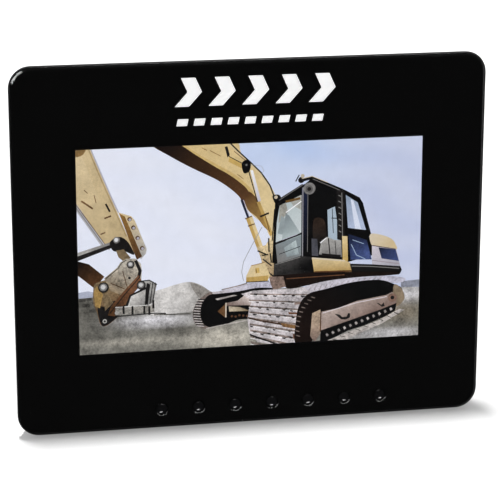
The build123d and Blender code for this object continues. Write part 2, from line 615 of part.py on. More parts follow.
def rubber_feet():
    """Two wedges of rubber between the cover's lower side and the table."""
    feet = []
    for side in (-1, 1):
        foot = block(side * FOOT_X - FOOT_W / 2, side * FOOT_X + FOOT_W / 2, -90, -70, FOOT_FRONT, FOOT_BACK)
        feet.append(foot - cover_form(0.0) - table_block())
    return Compound([solid for foot in feet for solid in foot.solids()])


# ---- Assembly ----
def all_parts():
    parts = {
        "front_panel": front_panel(), "panel_mask": panel_mask(), "panel_tape": panel_tape(),
        "front_bezel": front_bezel(), "key_switches": key_switches(), "key_board": key_board(),
        "key_screws": key_screws(), "key_cable": key_cable(), "cable_connectors": cable_connectors(),
        "display_shell": display_shell(), "display_glass": display_glass(), "optical_films": optical_films(),
        "light_guide": light_guide(), "reflector_sheet": reflector_sheet(),
        "backlight_housing": backlight_housing(), "backlight_lamps": backlight_lamps(),
        "display_bracket_left": display_bracket(-1), "display_bracket_right": display_bracket(1),
        "bracket_screws": bracket_screws(), "display_flex": display_flex(), "lamp_lead": lamp_lead(),
        "main_board": main_board(), "processor_chip": processor_chip(), "memory_chips": memory_chips(),
        "power_inductors": power_inductors(), "board_capacitors": board_capacitors(),
        "clock_crystal": clock_crystal(), "board_screws": board_screws(), "dc_jack": dc_jack(),
        "dc_jack_pin": dc_jack_pin(), "usb_socket": usb_socket(), "usb_tongue": usb_tongue(),
        "mini_usb_socket": mini_usb_socket(), "mini_usb_tongue": mini_usb_tongue(),
        "card_socket": card_socket(), "card_contacts": card_contacts(), "power_switch": power_switch(),
        "power_slider": power_slider(), "rear_cover": rear_cover(), "cover_screws": cover_screws(),
        "hinge_pin": hinge_pin(), "hinge_washers": hinge_washers(), "stand_leg": stand_leg(),
        "leg_pad": leg_pad(), "rubber_feet": rubber_feet(),
    }
    for number, (x, y) in enumerate(button_places(), 1):
        parts[f"button_{number}"] = button_cap(x, y)
        parts[f"plunger_{number}"] = switch_plunger(x, y)
    return parts


def stand_up(parts):
    """Leans the frame back on its feet, puts the origin under the middle, and gives that move too."""
    raise_up = Pos(0, 0, -floor_level()) * Rot(X=90 - LEAN)
    upright = [raise_up * solid for shape in parts.values() for solid in shape.solids()]
    box = Compound(upright).bounding_box()
    move = Pos(-box.center().X, -box.center().Y, -box.min.Z) * raise_up
    return {name: move * shape for name, shape in parts.items()}, move


def main():
    os.makedirs("parts", exist_ok=True)
    parts, move = stand_up(all_parts())
    for name, shape in parts.items():
        export_step(shape, f"parts/{name}.step")
    jack_middle = MOUTH_X - 0.5 - JACK_PIN_LENGTH / 2
    points = {
        "panel middle": (0, 0, 0), "hinge": (0, HINGE_Y, HINGE_DEPTH),
        "power inlet": (jack_middle, JACK_Y, BOARD_BACK + JACK_SIZE / 2),
        "keyhole": (KEYHOLE_X, KEYHOLE_Y, HUMP_DEPTH - SKIN / 2),
        "foot": (FOOT_X, -HEIGHT / 2, (FOOT_FRONT + FOOT_BACK) / 2),
    }
    for name, (x, y, depth) in points.items():
        place = (move * Pos(x, y, -depth)).position
        print(name, [round(value / 1000, 6) for value in place])


main()
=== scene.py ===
"""The looks of a seven-inch digital photo frame: finishes for every CAD piece, the picture that the display
shows, the printed mark above it, a plain floor, soft studio light and the camera.

Lengths are in millimetres in this script's own values, and in metres in Blender. A place on the frame is
given in panel axes: x across, y up the picture from the panel's middle, and depth behind its front face.
"""
import json
from math import cos, exp, pi, radians, sin

import bpy
from mathutils import Matrix, Vector
from mathutils.geometry import delaunay_2d_cdt


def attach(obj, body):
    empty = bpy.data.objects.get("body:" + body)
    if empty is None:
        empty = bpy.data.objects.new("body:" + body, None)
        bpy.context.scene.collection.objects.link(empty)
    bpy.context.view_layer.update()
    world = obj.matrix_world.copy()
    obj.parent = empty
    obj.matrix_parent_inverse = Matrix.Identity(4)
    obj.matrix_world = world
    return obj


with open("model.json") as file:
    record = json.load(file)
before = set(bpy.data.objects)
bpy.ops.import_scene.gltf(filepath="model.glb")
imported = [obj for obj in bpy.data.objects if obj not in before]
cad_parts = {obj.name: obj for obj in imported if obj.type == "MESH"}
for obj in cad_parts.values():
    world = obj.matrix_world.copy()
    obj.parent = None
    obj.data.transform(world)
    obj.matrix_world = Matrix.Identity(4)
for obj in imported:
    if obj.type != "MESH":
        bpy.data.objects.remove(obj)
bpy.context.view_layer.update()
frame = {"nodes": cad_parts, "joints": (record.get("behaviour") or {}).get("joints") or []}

MM = 0.001

# ---- Panel axes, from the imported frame: a button is pressed straight into the panel ----
press = next(joint for joint in frame["joints"] if joint["name"] == "press_1")
ACROSS = Vector((1.0, 0.0, 0.0))
INWARD = Vector(press["axis"]).normalized()
UPWARD = ACROSS.cross(INWARD)
panel_corners = [vertex.co for vertex in frame["nodes"]["front_panel"].data.vertices]


def reach(axis):
    """The panel's lowest and highest place along an axis."""
    places = [corner.dot(axis) for corner in panel_corners]
    return min(places), max(places)


PANEL_FRONT = UPWARD * (sum(reach(UPWARD)) / 2) + INWARD * reach(INWARD)[0]  # the middle of its front face

# ---- What shows in and on the panel ----
SCREEN_W, SCREEN_H, SCREEN_Y = 152.4, 91.44, -0.7  # the display's lit area, and its middle on the panel
PICTURE_DEPTH, PICTURE_THICK = 2.76, 0.06  # the display's front film, just clear of its glass
PICTURE_MESH = 2.4  # spacing of the mesh that carries the sky's shading
PAINT, GRIT = "paint", "grit"  # the attributes that carry its colours and its speckle
MARK_DEPTH, MARK_THICK = 2.01, 0.02  # white ink between the panel and its black print


def on_panel(x, y, depth):
    """A point in the row frame from a place in panel axes."""
    return PANEL_FRONT + (ACROSS * x + UPWARD * y + INWARD * depth) * MM


def placed(name, data):
    """A new object, in the scene."""
    thing = bpy.data.objects.new(name, data)
    bpy.context.scene.collection.objects.link(thing)
    return thing


# ---- Colours ----
def rgb(red, green, blue):
    """A screen colour, 0 to 255, as the linear RGBA that Blender's sockets take."""
    def channel(value):
        value = value / 255
        return value / 12.92 if value <= 0.04045 else ((value + 0.055) / 1.055) ** 2.4
    return (channel(red), channel(green), channel(blue), 1.0)


def grey(level):
    """A linear grey, 0 to 1."""
    return (level, level, level, 1.0)


def scaled(colour, factor):
    return tuple(min(1.0, part * factor) for part in colour[:3]) + (1.0,)


# ---- Node trees ----
NOISE_SPREAD = (0.3, 0.7)  # most of a noise's values lie between these


class Tree:
    """A node tree, with short names for the nodes that the finishes and the surroundings share."""

    def __init__(self, tree):
        self.nodes, self.links = tree.nodes, tree.links

    def feed(self, socket, value):
        """Link a socket to another node's output, or give it a constant."""
        if isinstance(value, bpy.types.NodeSocket):
            self.links.new(value, socket)
        else:
            socket.default_value = value

    def node(self, kind, inputs, **settings):
        """A new node with these settings. Its inputs go by name or by number."""
        node = self.nodes.new("ShaderNode" + kind)
        for name, value in settings.items():
            setattr(node, name, value)
        for socket, value in inputs.items():
            self.feed(node.inputs[socket], value)
        return node

    def maths(self, operation, *values):
        return self.node("Math", dict(enumerate(values)), operation=operation).outputs["Value"]

    def between(self, factor, low, high, start=NOISE_SPREAD[0], end=NOISE_SPREAD[1], curve="LINEAR"):
        """A number that runs from low to high as factor runs from start to end."""
        inputs = {"Value": factor, "From Min": start, "From Max": end, "To Min": low, "To Max": high}
        return self.node("MapRange", inputs, interpolation_type=curve).outputs["Result"]


class Finish(Tree):
    """A Principled material. Its name is followed by the shader's constant sockets."""

    def __init__(self, name, **sockets):
        self.material = bpy.data.materials.new(name)
        self.material.use_nodes = True
        super().__init__(self.material.node_tree)
        self.shader = self.nodes["Principled BSDF"]
        for socket, value in sockets.items():
            self.set(socket.replace("_", " "), value)
        self.place = self.node("TexCoord", {}).outputs["Object"]

    def set(self, socket, value):
        self.feed(self.shader.inputs[socket], value)

    def stretched(self, x, y, z):
        """Object coordinates, squeezed so that a texture runs longer along the axes with small factors."""
        return self.node("Mapping", {"Vector": self.place, "Scale": (x, y, z)}).outputs["Vector"]

    def noise(self, size, detail=2.0, place=None, rough=0.5):
        """Soft noise whose patches are about size millimetres across."""
        inputs = {"Vector": place or self.place, "Scale": 1 / (size * MM), "Detail": detail,
                  "Roughness": rough}
        return self.node("TexNoise", inputs).outputs["Fac"]

    def cells(self, size):
        """Cells about size millimetres across, dark in their middles."""
        return self.node("TexVoronoi", {"Vector": self.place, "Scale": 1 / (size * MM)}).outputs["Distance"]

    def colours(self, factor, low, high):
        """A colour that runs from low to high over most of a noise's values."""
        node = self.node("ValToRGB", {"Fac": factor})
        for stop, position, colour in zip(node.color_ramp.elements, NOISE_SPREAD, (low, high)):
            stop.position = position
            stop.color = colour
        return node.outputs["Color"]

    def bump(self, height, depth):
        """Relief of depth millimetres."""
        relief = self.node("Bump", {"Height": height, "Strength": 1.0, "Distance": depth * MM})
        self.set("Normal", relief.outputs["Normal"])


# ---- Finishes ----
def moulded(name, colour, roughness, grain=0.5, relief=0.004, **sockets):
    """Moulded plastic, rubber or ink: fine grain in relief, and slow patches in its colour and gloss."""
    finish = Finish(name, **sockets)
    slow = finish.noise(14.0, detail=3.0)
    fine = finish.noise(grain, detail=3.0)
    finish.set("Base Color", finish.colours(slow, scaled(colour, 0.8), scaled(colour, 1.2)))
    finish.set("Roughness", finish.between(slow, roughness * 0.88, min(1.0, roughness * 1.12)))
    finish.bump(fine, relief)
    return finish.material


def spark_textured(name, colour, roughness, pit, relief):
    """A mould finish etched by sparks: small overlapping pits over a slow unevenness."""
    finish = Finish(name, Specular_IOR_Level=0.42)
    pits = finish.cells(pit)
    dust = finish.noise(26.0, detail=4.0)
    finish.set("Base Color", finish.colours(dust, scaled(colour, 0.85), scaled(colour, 1.3)))
    finish.set("Roughness", finish.between(pits, roughness * 1.08, roughness * 0.86, 0.1, 0.7))
    finish.bump(pits, relief)
    return finish.material


def metal(name, colour, roughness, along=(1.0, 1.0, 1.0)):
    """Plain or brushed metal, a little tarnished. Small factors in along stretch its grain that way."""
    finish = Finish(name, Metallic=1.0)
    streaks = finish.noise(0.6, detail=4.0, place=finish.stretched(*along))
    slow = finish.noise(9.0)
    finish.set("Base Color", finish.colours(slow, scaled(colour, 0.88), scaled(colour, 1.12)))
    finish.set("Roughness", finish.between(streaks, roughness * 0.8, roughness * 1.25))
    finish.bump(streaks, 0.002)
    return finish.material


def clear_acrylic():
    """Polished clear sheet, with the faintest haze where it has been wiped."""
    finish = Finish("clear_acrylic", Transmission_Weight=1.0, IOR=1.49, Base_Color=grey(1.0))
    wiped = finish.noise(30.0, detail=5.0, place=finish.stretched(0.5, 1.0, 1.6))
    finish.set("Roughness", finish.between(wiped, 0.0, 0.03, 0.45, 0.8))
    return finish.material


def circuit_board():
    """Green solder mask over a mesh of copper tracks, drawn in the plane of the board."""
    finish = Finish("circuit_board", Coat_Weight=0.5, Coat_Roughness=0.25)
    flat = finish.node("VectorRotate", {"Vector": finish.stretched(1.0, 0.0, 1.0), "Axis": (1.0, 0.0, 0.0),
                                        "Angle": radians(90.0)})
    tracks = finish.node("TexBrick", {
        "Vector": flat.outputs["Vector"], "Scale": 1 / (7.0 * MM), "Mortar Size": 0.035,
        "Color1": rgb(20, 74, 44), "Color2": rgb(14, 60, 36), "Mortar": rgb(52, 118, 62)})
    finish.set("Base Color", tracks.outputs["Color"])
    finish.set("Roughness", finish.between(finish.noise(4.0), 0.32, 0.5))
    finish.bump(tracks.outputs["Fac"], 0.02)
    return finish.material


def display_glass():
    """Thin glass over the liquid crystal: nearly black when it is unlit, with a cool sheen."""
    finish = Finish("display_glass", Coat_Weight=0.6, Coat_Roughness=0.05)
    slow = finish.noise(20.0)
    finish.set("Base Color", finish.colours(slow, rgb(20, 22, 28), rgb(28, 30, 38)))
    finish.set("Roughness", finish.between(finish.noise(0.8), 0.08, 0.16))
    return finish.material


def glowing_white_ink():
    """Screen-printed white, a little uneven in thickness. Its glow is painted light, standing in for the
    light that reaches it through the clear sheet.
    """
    finish = Finish("glowing_white_ink", Emission_Strength=0.8, Emission_Color=grey(1.0))
    weave = finish.noise(0.25, detail=3.0)
    finish.set("Base Color", finish.colours(weave, rgb(240, 240, 240), rgb(252, 252, 252)))
    finish.set("Roughness", finish.between(weave, 0.45, 0.6))
    return finish.material


def picture_light():
    """The lit picture: the colours of the drawing, with the grit of gravel and steel where it says so."""
    finish = Finish("picture_light", Base_Color=grey(0.002), Roughness=0.35, Specular_IOR_Level=0.1,
                    Emission_Strength=1.0)
    paint, grit = (finish.node("Attribute", {}, attribute_name=name).outputs for name in (PAINT, GRIT))
    fine = finish.between(finish.noise(1.0, detail=5.0, rough=0.7), -1.0, 1.0)
    coarse = finish.between(finish.noise(5.0, detail=4.0), -0.8, 0.8)
    amount = finish.maths("MULTIPLY_ADD", finish.maths("ADD", fine, coarse), grit["Fac"], 1.0)
    lit = finish.node("VectorMath", {0: paint["Color"], "Scale": amount}, operation="SCALE")
    finish.set("Emission Color", lit.outputs["Vector"])
    finish.material.cycles.emission_sampling = "NONE"
    return finish.material


def plain_name(material):
    """A material's name without the number that Blender adds to a name in use."""
    return material.name.split(".")[0]


MATERIALS = {plain_name(material): material for material in (
    clear_acrylic(),
    moulded("black_print", rgb(6, 6, 6), 0.7, grain=0.2, relief=0.001, Specular_IOR_Level=0.02),
    moulded("tape", rgb(26, 26, 27), 0.8, grain=0.4, relief=0.02),
    moulded("black_bezel", rgb(13, 13, 14), 0.2, grain=0.35, relief=0.0008, Specular_IOR_Level=0.5),
    spark_textured("black_cover", rgb(26, 26, 28), 0.52, 0.45, 0.016),
    spark_textured("black_leg", rgb(24, 24, 26), 0.48, 0.38, 0.012),
    moulded("button_black", rgb(8, 8, 9), 0.08, grain=0.3, relief=0.0005),
    moulded("plunger", rgb(196, 190, 178), 0.45),
    moulded("switch_plastic", rgb(36, 36, 38), 0.5),
    circuit_board(),
    moulded("chip_black", rgb(30, 30, 32), 0.62, grain=0.15, relief=0.006),
    moulded("ferrite", rgb(52, 50, 52), 0.75, grain=0.3, relief=0.02),
    metal("can_aluminium", rgb(205, 208, 214), 0.32, along=(1.0, 1.0, 0.1)),
    metal("sheet_steel", rgb(190, 190, 188), 0.34, along=(0.08, 1.0, 1.0)),
    metal("steel_screw", rgb(180, 180, 184), 0.28),
    metal("black_screw", rgb(46, 46, 50), 0.4),
    metal("steel_pin", rgb(196, 196, 198), 0.2, along=(0.1, 1.0, 1.0)),
    metal("contact_metal", rgb(226, 190, 120), 0.25),
    moulded("washer", rgb(228, 226, 216), 0.4),
    moulded("white_plastic", rgb(232, 230, 222), 0.45),
    moulded("white_film", rgb(242, 242, 244), 0.6, grain=0.15, relief=0.001),
    display_glass(),
    moulded("lamp_strip", rgb(246, 236, 190), 0.4),
    moulded("flat_cable", rgb(210, 210, 214), 0.4, grain=1.0, relief=0.03),
    moulded("flex_circuit", rgb(168, 98, 32), 0.35, Coat_Weight=0.4),
    moulded("wire", rgb(170, 30, 28), 0.45),
    moulded("socket_black", rgb(24, 24, 26), 0.5),
    moulded("rubber", rgb(34, 34, 35), 0.85, grain=0.25, relief=0.02),
)}


def finish_frame():
    """Every CAD node takes the finish that its own material slot names."""
    for part in frame["nodes"].values():
        for slot in part.material_slots:
            slot.material = MATERIALS[plain_name(slot.material)]


# ---- The picture ----
SKY = rgb(230, 234, 249)
SKY_BLUE = rgb(178, 200, 238)
SKY_DUSK = rgb(196, 204, 231)
CREAM = rgb(208, 187, 147)
CREAM_LIT = rgb(212, 192, 154)
FAWN = rgb(168, 146, 106)
YELLOW = rgb(218, 196, 150)
AMBER = rgb(198, 166, 98)
OCHRE = rgb(142, 106, 56)
UMBER = rgb(84, 56, 34)
MAROON = rgb(24, 15, 12)
BROWN = rgb(104, 76, 50)
RUST = rgb(112, 76, 54)
KHAKI = rgb(124, 106, 80)
BLACK = rgb(8, 8, 9)
SOOT = rgb(27, 25, 25)
NAVY = rgb(26, 32, 54)
STEEL = rgb(122, 120, 119)
ZINC = rgb(170, 168, 165)
LILAC = rgb(190, 188, 204)
WHITE = rgb(240, 240, 244)
GLASS = rgb(182, 194, 196)
GLASS_BLUE = rgb(156, 176, 204)
SLATE = rgb(130, 140, 144)
INDIGO = rgb(62, 76, 122)
BONE = rgb(212, 198, 174)
BLUSH = rgb(222, 212, 218)
GRAVEL = rgb(206, 203, 201)
FLINT = rgb(150, 145, 140)
ROAD = rgb(214, 212, 217)
GROUND = rgb(124, 122, 115)
SOIL = rgb(78, 76, 71)
SAND = rgb(194, 188, 176)
TREAD = rgb(200, 191, 188)
MUD = rgb(136, 122, 116)
GIRDER = rgb(180, 163, 155)
TAUPE = rgb(128, 108, 100)

# Soft patches of the ground: middle, half sizes, colour and strength
GROUND_PATCHES = [
    (33, 77.6, 17, 2.6, ROAD, 1), (20, 87, 24, 1.3, SAND, 0.55), (4, 74, 12, 12, SOIL, 0.7),
    (12, 80.2, 9, 1.6, SOIL, 0.7), (44, 82.6, 15, 2, SOIL, 0.9), (8, 84.4, 14, 1.5, SOIL, 0.4),
    (64, 87.5, 15, 4.6, SAND, 1), (145, 72, 12, 3.4, ROAD, 0.9), (146, 80, 11, 5, KHAKI, 0.45),
    (138, 90, 18, 2.4, ROAD, 0.8), (134, 85, 9, 1.6, SOIL, 0.5), (30, 91, 30, 1.6, SOIL, 0.35),
]


def mix(first, second, share):
    return tuple(a + (b - a) * share for a, b in zip(first, second))


def bell(distance, width):
    return exp(-((distance / width) ** 2))


def sky(u, v):
    """Pale on the left, dusky on the right and blue high in the middle, with thin cloud."""
    base = mix(SKY, SKY_DUSK, min(1.0, max(0.0, (u - 60) / 70)))
    blue = mix(base, SKY_BLUE, 0.9 * bell(u - 90, 33) * bell(v + 1, 20))
    streak = 0.5 + 0.5 * sin(0.11 * u - 0.32 * v + 1.4 * sin(0.07 * u + 0.1 * v))
    return mix(blue, WHITE, 0.16 * streak)


def ground(u, v):
    """Grey soil with soft patches of pale road, sand and shadow."""
    colour = GROUND
    for middle_u, middle_v, half_u, half_v, patch, strength in GROUND_PATCHES:
        colour = mix(colour, patch, strength * bell(u - middle_u, half_u) * bell(v - middle_v, half_v))
    return colour


def graded(first, second, start, end):
    """A paint that runs from one colour to another along a line on the screen."""
    start, end = Vector(start), Vector(end)

    def paint(u, v):
        share = (Vector((u, v)) - start).dot(end - start) / (end - start).length_squared
        return mix(first, second, min(1.0, max(0.0, share)))
    return paint


CURVE_STEPS = 4  # points between two corners of a smooth outline


def rounded(points):
    """A closed outline through the points as a smooth Catmull-Rom curve."""
    outline = []
    count = len(points)
    for i in range(count):
        before, here, after, beyond = (Vector(points[(i + k) % count]) for k in (-1, 0, 1, 2))
        for step in range(CURVE_STEPS):
            t = step / CURVE_STEPS
            outline.append(0.5 * (2 * here + (after - before) * t
                                  + (2 * before - 5 * here + 4 * after - beyond) * t ** 2
                                  + (3 * here - before - 3 * after + beyond) * t ** 3))
    return outline


class Drawing:
    """Flat shapes in millimetres from the screen's top left corner: u across and v down. A later shape covers
    the ones before it. A paint is a colour, or a function of u and v that gives one."""

    def __init__(self):
        self.shapes = []

    def area(self, points, paint, grit=0.0):
        points = [Vector(point) for point in points]
        turn = sum(a.x * b.y - b.x * a.y for a, b in zip(points, points[1:] + points[:1]))
        self.shapes.append((points if turn > 0 else points[::-1], paint, grit))

    def soft(self, points, paint, grit=0.0):
        self.area(rounded(points), paint, grit)

    def disc(self, u, v, radius, paint, grit=0.0, sides=16):
        turns = [2 * pi * i / sides for i in range(sides)]
        self.area([(u + radius * cos(a), v + radius * sin(a)) for a in turns], paint, grit)

    def pin(self, u, v, radius):
        """A dark bush, a worn ring and a pale pin in its middle."""
        self.disc(u, v, radius, SOOT, 0.3)
        self.disc(u - 0.1, v - 0.1, radius * 0.72, STEEL, 0.3)
        self.disc(u - 0.15, v - 0.2, radius * 0.45, mix(ZINC, WHITE, 0.4), 0.1, sides=12)

    def line(self, points, width, paint, grit=0.0):
        for start, end in zip(points, points[1:]):
            start, end = Vector(start), Vector(end)
            run = (end - start).normalized()
            side = Vector((-run.y, run.x)) * width / 2
            start, end = start - run * width / 4, end + run * width / 4
            self.area([start + side, end + side, end - side, start - side], paint, grit)

    def mesh(self, name, width, height, spacing):
        """One flat mesh of the screen, cut along every outline. A face has the paint of its top shape."""
        points, loops = [], []
        for outline, _, _ in self.shapes:
            loops.append(list(range(len(points), len(points) + len(outline))))
            points += outline
        columns, rows = round(width / spacing), round(height / spacing)
        points += [Vector((width * i / columns, height * j / rows))
                   for i in range(columns + 1) for j in range(rows + 1)]
        spots, _, faces, _, _, owners = delaunay_2d_cdt(points, [], loops, 1, 1e-4)
        shown = [(face, max(owner)) for face, owner in zip(faces, owners) if 0 in owner]
        used = sorted({corner for face, _ in shown for corner in face})
        index = {corner: i for i, corner in enumerate(used)}
        places = [on_panel(spots[k].x - width / 2, SCREEN_Y + height / 2 - spots[k].y, PICTURE_DEPTH)
                  for k in used]
        mesh = bpy.data.meshes.new(name)
        mesh.from_pydata(places, [], [[index[corner] for corner in face] for face, _ in shown])
        paints, grits = [], []
        for face, top in shown:
            _, paint, grit = self.shapes[top]
            for k in face:
                paints += paint(*spots[k]) if callable(paint) else paint
                grits.append(grit)
        mesh.attributes.new(PAINT, "FLOAT_COLOR", "CORNER").data.foreach_set("color", paints)
        mesh.attributes.new(GRIT, "FLOAT", "CORNER").data.foreach_set("value", grits)
        return mesh


def draw_land(d):
    """The sky, the gravel heap and the ground."""
    d.area([(0, 0), (SCREEN_W, 0), (SCREEN_W, SCREEN_H), (0, SCREEN_H)], sky, 0.03)
    d.area([(-2, 65), (12, 64.4), (34, 66), (60, 66), (100, 66), (154, 69), (154, 94), (-2, 94)],
           ground, 0.42)
    # a far bank and boulders on the left
    d.area([(-1, 63.2), (4, 62.6), (9, 63.6), (9, 65.4), (-1, 65.8)], mix(SKY_DUSK, GROUND, 0.4), 0.2)
    for u, v, size in ((1.6, 66.6, 1.4), (4.6, 66.2, 1.2), (3.2, 69, 1.6), (7.2, 68, 1.3), (5.8, 71.6, 1.5)):
        d.area([(u - size, v - size / 2), (u + size, v - size / 2), (u + size, v + size / 2),
                (u - size, v + size / 2)], mix(SOOT, GROUND, 0.3), 0.5)
    # the gravel heap
    d.soft([(32, 65.4), (37.5, 63.2), (43, 61.6), (48.4, 60.8), (53, 62.2), (57, 65), (60, 68), (54, 73.5),
            (42, 74.8), (31, 74.6)], graded(GRAVEL, FLINT, (46, 66), (58, 70)), 0.3)
    d.soft([(49, 61.2), (53, 62.6), (57.4, 66), (54.6, 69), (51.4, 66.4)], FLINT, 0.5)
    d.line([(33, 74.9), (49, 75.4)], 0.5, SOIL, 0.5)
    d.area([(144, 65.8), (153, 65.4), (153, 68.8), (144, 68.6)], mix(SOIL, SKY_DUSK, 0.3), 0.45)


def draw_dipper(d):
    """The second machine's arm on the left: its tapering box, holed side plate and linkage."""
    # the box, its lighter near side and its edges
    d.area([(-1, -1), (6.2, -1), (10, 9.5), (14.6, 21), (17.5, 28), (24.8, 46.4), (20, 45.5), (12, 42.2),
            (-1, 22)], graded(CREAM, mix(CREAM, FAWN, 0.5), (2, 4), (18, 44)), 0.13)
    d.area([(-1, -1), (1.5, -1), (15.6, 38), (12, 42.2), (-1, 22)],
           graded(CREAM_LIT, mix(CREAM, FAWN, 0.3), (0, 2), (10, 38)), 0.13)
    d.line([(6.4, -0.5), (10.3, 9.5), (14.9, 21), (17.9, 28)], 0.55, mix(LILAC, STEEL, 0.3))
    d.line([(5.5, -0.5), (9.4, 9.8), (14, 21.2), (17.2, 29), (21, 38.6)], 0.5, FAWN, 0.2)
    d.area([(-1, 22.8), (11.6, 42.2), (14.6, 43.2), (13.8, 44.6), (10.5, 43), (-1, 25.4)],
           mix(ZINC, LILAC, 0.4), 0.12)
    d.line([(-1, 24), (11.6, 43)], 0.4, STEEL)
    d.line([(-1, 22.6), (12, 42.2)], 0.35, UMBER, 0.3)
    d.disc(0.6, -1, 4, mix(BROWN, AMBER, 0.2), 0.3)
    # scratches and holes
    d.line([(2.2, 22.4), (6.8, 25.8)], 0.8, BROWN, 0.5)
    d.line([(12.6, 24.2), (14.2, 27.4)], 0.8, SOOT, 0.5)
    d.line([(12, 30.4), (14.6, 29.5)], 0.7, UMBER, 0.5)
    d.line([(10.2, 37.4), (12, 36.7)], 0.6, BROWN, 0.5)
    d.line([(7.6, 20), (8.4, 23.4)], 0.35, BROWN, 0.5)
    d.line([(3.4, 17.6), (4.8, 19)], 0.35, BROWN, 0.5)
    # the holed side plate
    d.area([(17.8, 28), (23.5, 30), (25, 32), (30, 45), (29.6, 47), (27.4, 49.4)],
           graded(CREAM, ZINC, (22, 30), (28, 48)), 0.22)
    d.area([(18.2, 28.4), (20.7, 30), (27.9, 48.2), (25.6, 49.6)],
           graded(OCHRE, UMBER, (19, 29), (26, 49)), 0.35)
    for u, v in ((22.7, 31.3), (24.3, 35.1), (26.1, 39.8), (28, 44.5)):
        d.disc(u, v, 1, UMBER, 0.4, sides=12)
        d.disc(u + 0.15, v + 0.2, 0.62, mix(LILAC, STEEL, 0.3), 0.1, sides=10)
    # the linkage's rods and joint
    d.area([(-1, 46), (14.5, 41.4), (15, 43.6), (-1, 49.2)], SOOT, 0.4)
    d.area([(-1, 45.4), (14, 41.2), (14.2, 42.3), (-1, 47)], graded(ZINC, STEEL, (0, 46), (14, 42)), 0.3)
    d.soft([(14, 41.2), (17.8, 38.9), (21.2, 40.6), (23.6, 44.5), (24.4, 47.3), (20, 45.4), (15.6, 45.2)],
           SOOT, 0.45)
    d.area([(16.6, 45), (20, 44.6), (23, 48.6), (20, 50.2), (17.6, 48)], KHAKI, 0.4)
    d.disc(16.9, 40.3, 1.5, STEEL, 0.4, sides=14)
    d.disc(16.8, 40.2, 0.9, mix(WHITE, ZINC, 0.3), 0.1, sides=12)
    d.area([(-1, 48.6), (4.8, 50.5), (11.4, 56.4), (8, 60.4), (6.6, 61.2), (-1, 54.6)],
           graded(BLACK, UMBER, (0, 50), (9, 60)), 0.4)


def draw_coupler(d):
    """The worn quick coupler and the tool that hang from the arm."""
    # the body behind
    d.soft([(8, 59), (6.4, 63), (6.4, 68), (8, 73), (9.4, 78), (12, 78.6), (18, 74), (22, 69), (19, 58)],
           graded(KHAKI, UMBER, (8, 62), (16, 76)), 0.55)
    d.soft([(8.2, 70), (9.4, 77.5), (11.6, 78.6), (17.6, 74.2), (20.4, 70), (15.5, 67.5), (12, 70)],
           SOOT, 0.6)
    d.area([(7.8, 60.4), (6.6, 63.5), (7.2, 69.5), (9.2, 70.6), (10.6, 64.5)], mix(AMBER, BROWN, 0.55), 0.45)
    d.area([(10.6, 64.4), (12.6, 63.4), (15, 68.4), (11.4, 72)], KHAKI, 0.5)
    # the worn face plate
    d.area([(11.3, 57.2), (17, 52.6), (18.4, 50.4), (21, 48.9), (25, 49), (27.4, 51.5), (27.7, 54.4),
            (27.4, 60), (25.4, 62.6), (21.4, 66.3), (14, 63)],
           graded(mix(ZINC, CREAM, 0.25), KHAKI, (22, 52), (16, 66)), 0.5)
    d.line([(12, 57.4), (17.4, 53), (18.8, 50.8), (21, 49.4)], 0.35, SOOT, 0.4)
    d.line([(25.2, 50.2), (27, 54.6), (26, 58.8)], 1.4, SOOT, 0.5)
    d.line([(19.4, 54.4), (21.4, 62.4)], 0.35, UMBER, 0.5)
    d.line([(14.2, 59.6), (20, 62.4)], 0.4, UMBER, 0.5)
    # the rusty link and the tool beyond
    d.area([(26.3, 56.4), (28, 60), (15.6, 74.6), (12.6, 74), (14, 70), (19.5, 63.6)],
           graded(RUST, UMBER, (26, 58), (14, 74)), 0.5)
    d.line([(26.8, 57.4), (20.4, 64.6), (13.6, 73)], 0.4, SOOT, 0.4)
    d.area([(26.3, 59.4), (31, 59.1), (34.2, 61.2), (32.6, 69), (29, 71)],
           graded(ZINC, STEEL, (28, 60), (32, 70)), 0.35)
    for u in (29.4, 30.7, 31.9, 33.1):
        d.line([(u + 0.6, 60.4), (u - 0.8, 69.8)], 0.38, SOOT, 0.4)
    d.line([(26.3, 59.4), (31, 59.1), (34.2, 61.2)], 0.5, SOOT, 0.4)
    d.area([(20.2, 70.4), (22.2, 65.3), (29.6, 62), (30.4, 60.2), (31, 61), (30.2, 70.8)], SOOT, 0.5)
    d.area([(21.4, 70.4), (22.9, 65.9), (29.3, 63.1), (28.8, 70.4)],
           graded(mix(WHITE, SAND, 0.6), STEEL, (23, 65), (29, 71)), 0.3)
    d.area([(16, 70.4), (33, 70.2), (33, 73.6), (15.8, 74.2)], mix(STEEL, SAND, 0.35), 0.6)
    d.line([(16, 70.6), (33, 70.3)], 0.4, mix(WHITE, SAND, 0.5), 0.4)
    for u, v in ((28.6, 73), (30.8, 73.4), (32.6, 70.6), (19.5, 72.4), (23.4, 72.8)):
        d.area([(u - 0.4, v - 2.4), (u + 0.4, v - 2.4), (u + 0.5, v + 1.4), (u - 0.5, v + 1.4)], SOOT, 0.4)
    d.line([(17, 74.7), (33, 74.2), (38, 74.6)], 0.5, SOOT, 0.6)
    # pins
    d.pin(22.9, 51.6, 1.75)
    d.pin(10.9, 61.3, 2.4)
    d.pin(27.4, 61.2, 2)
    d.disc(22.3, 57.6, 0.6, SOOT, sides=10)
    d.disc(16.5, 73.1, 0.9, ZINC, 0.3, sides=12)
    d.disc(11.2, 76.6, 1, ZINC, 0.3, sides=12)
    d.disc(11.2, 76.6, 0.45, SOOT, sides=10)


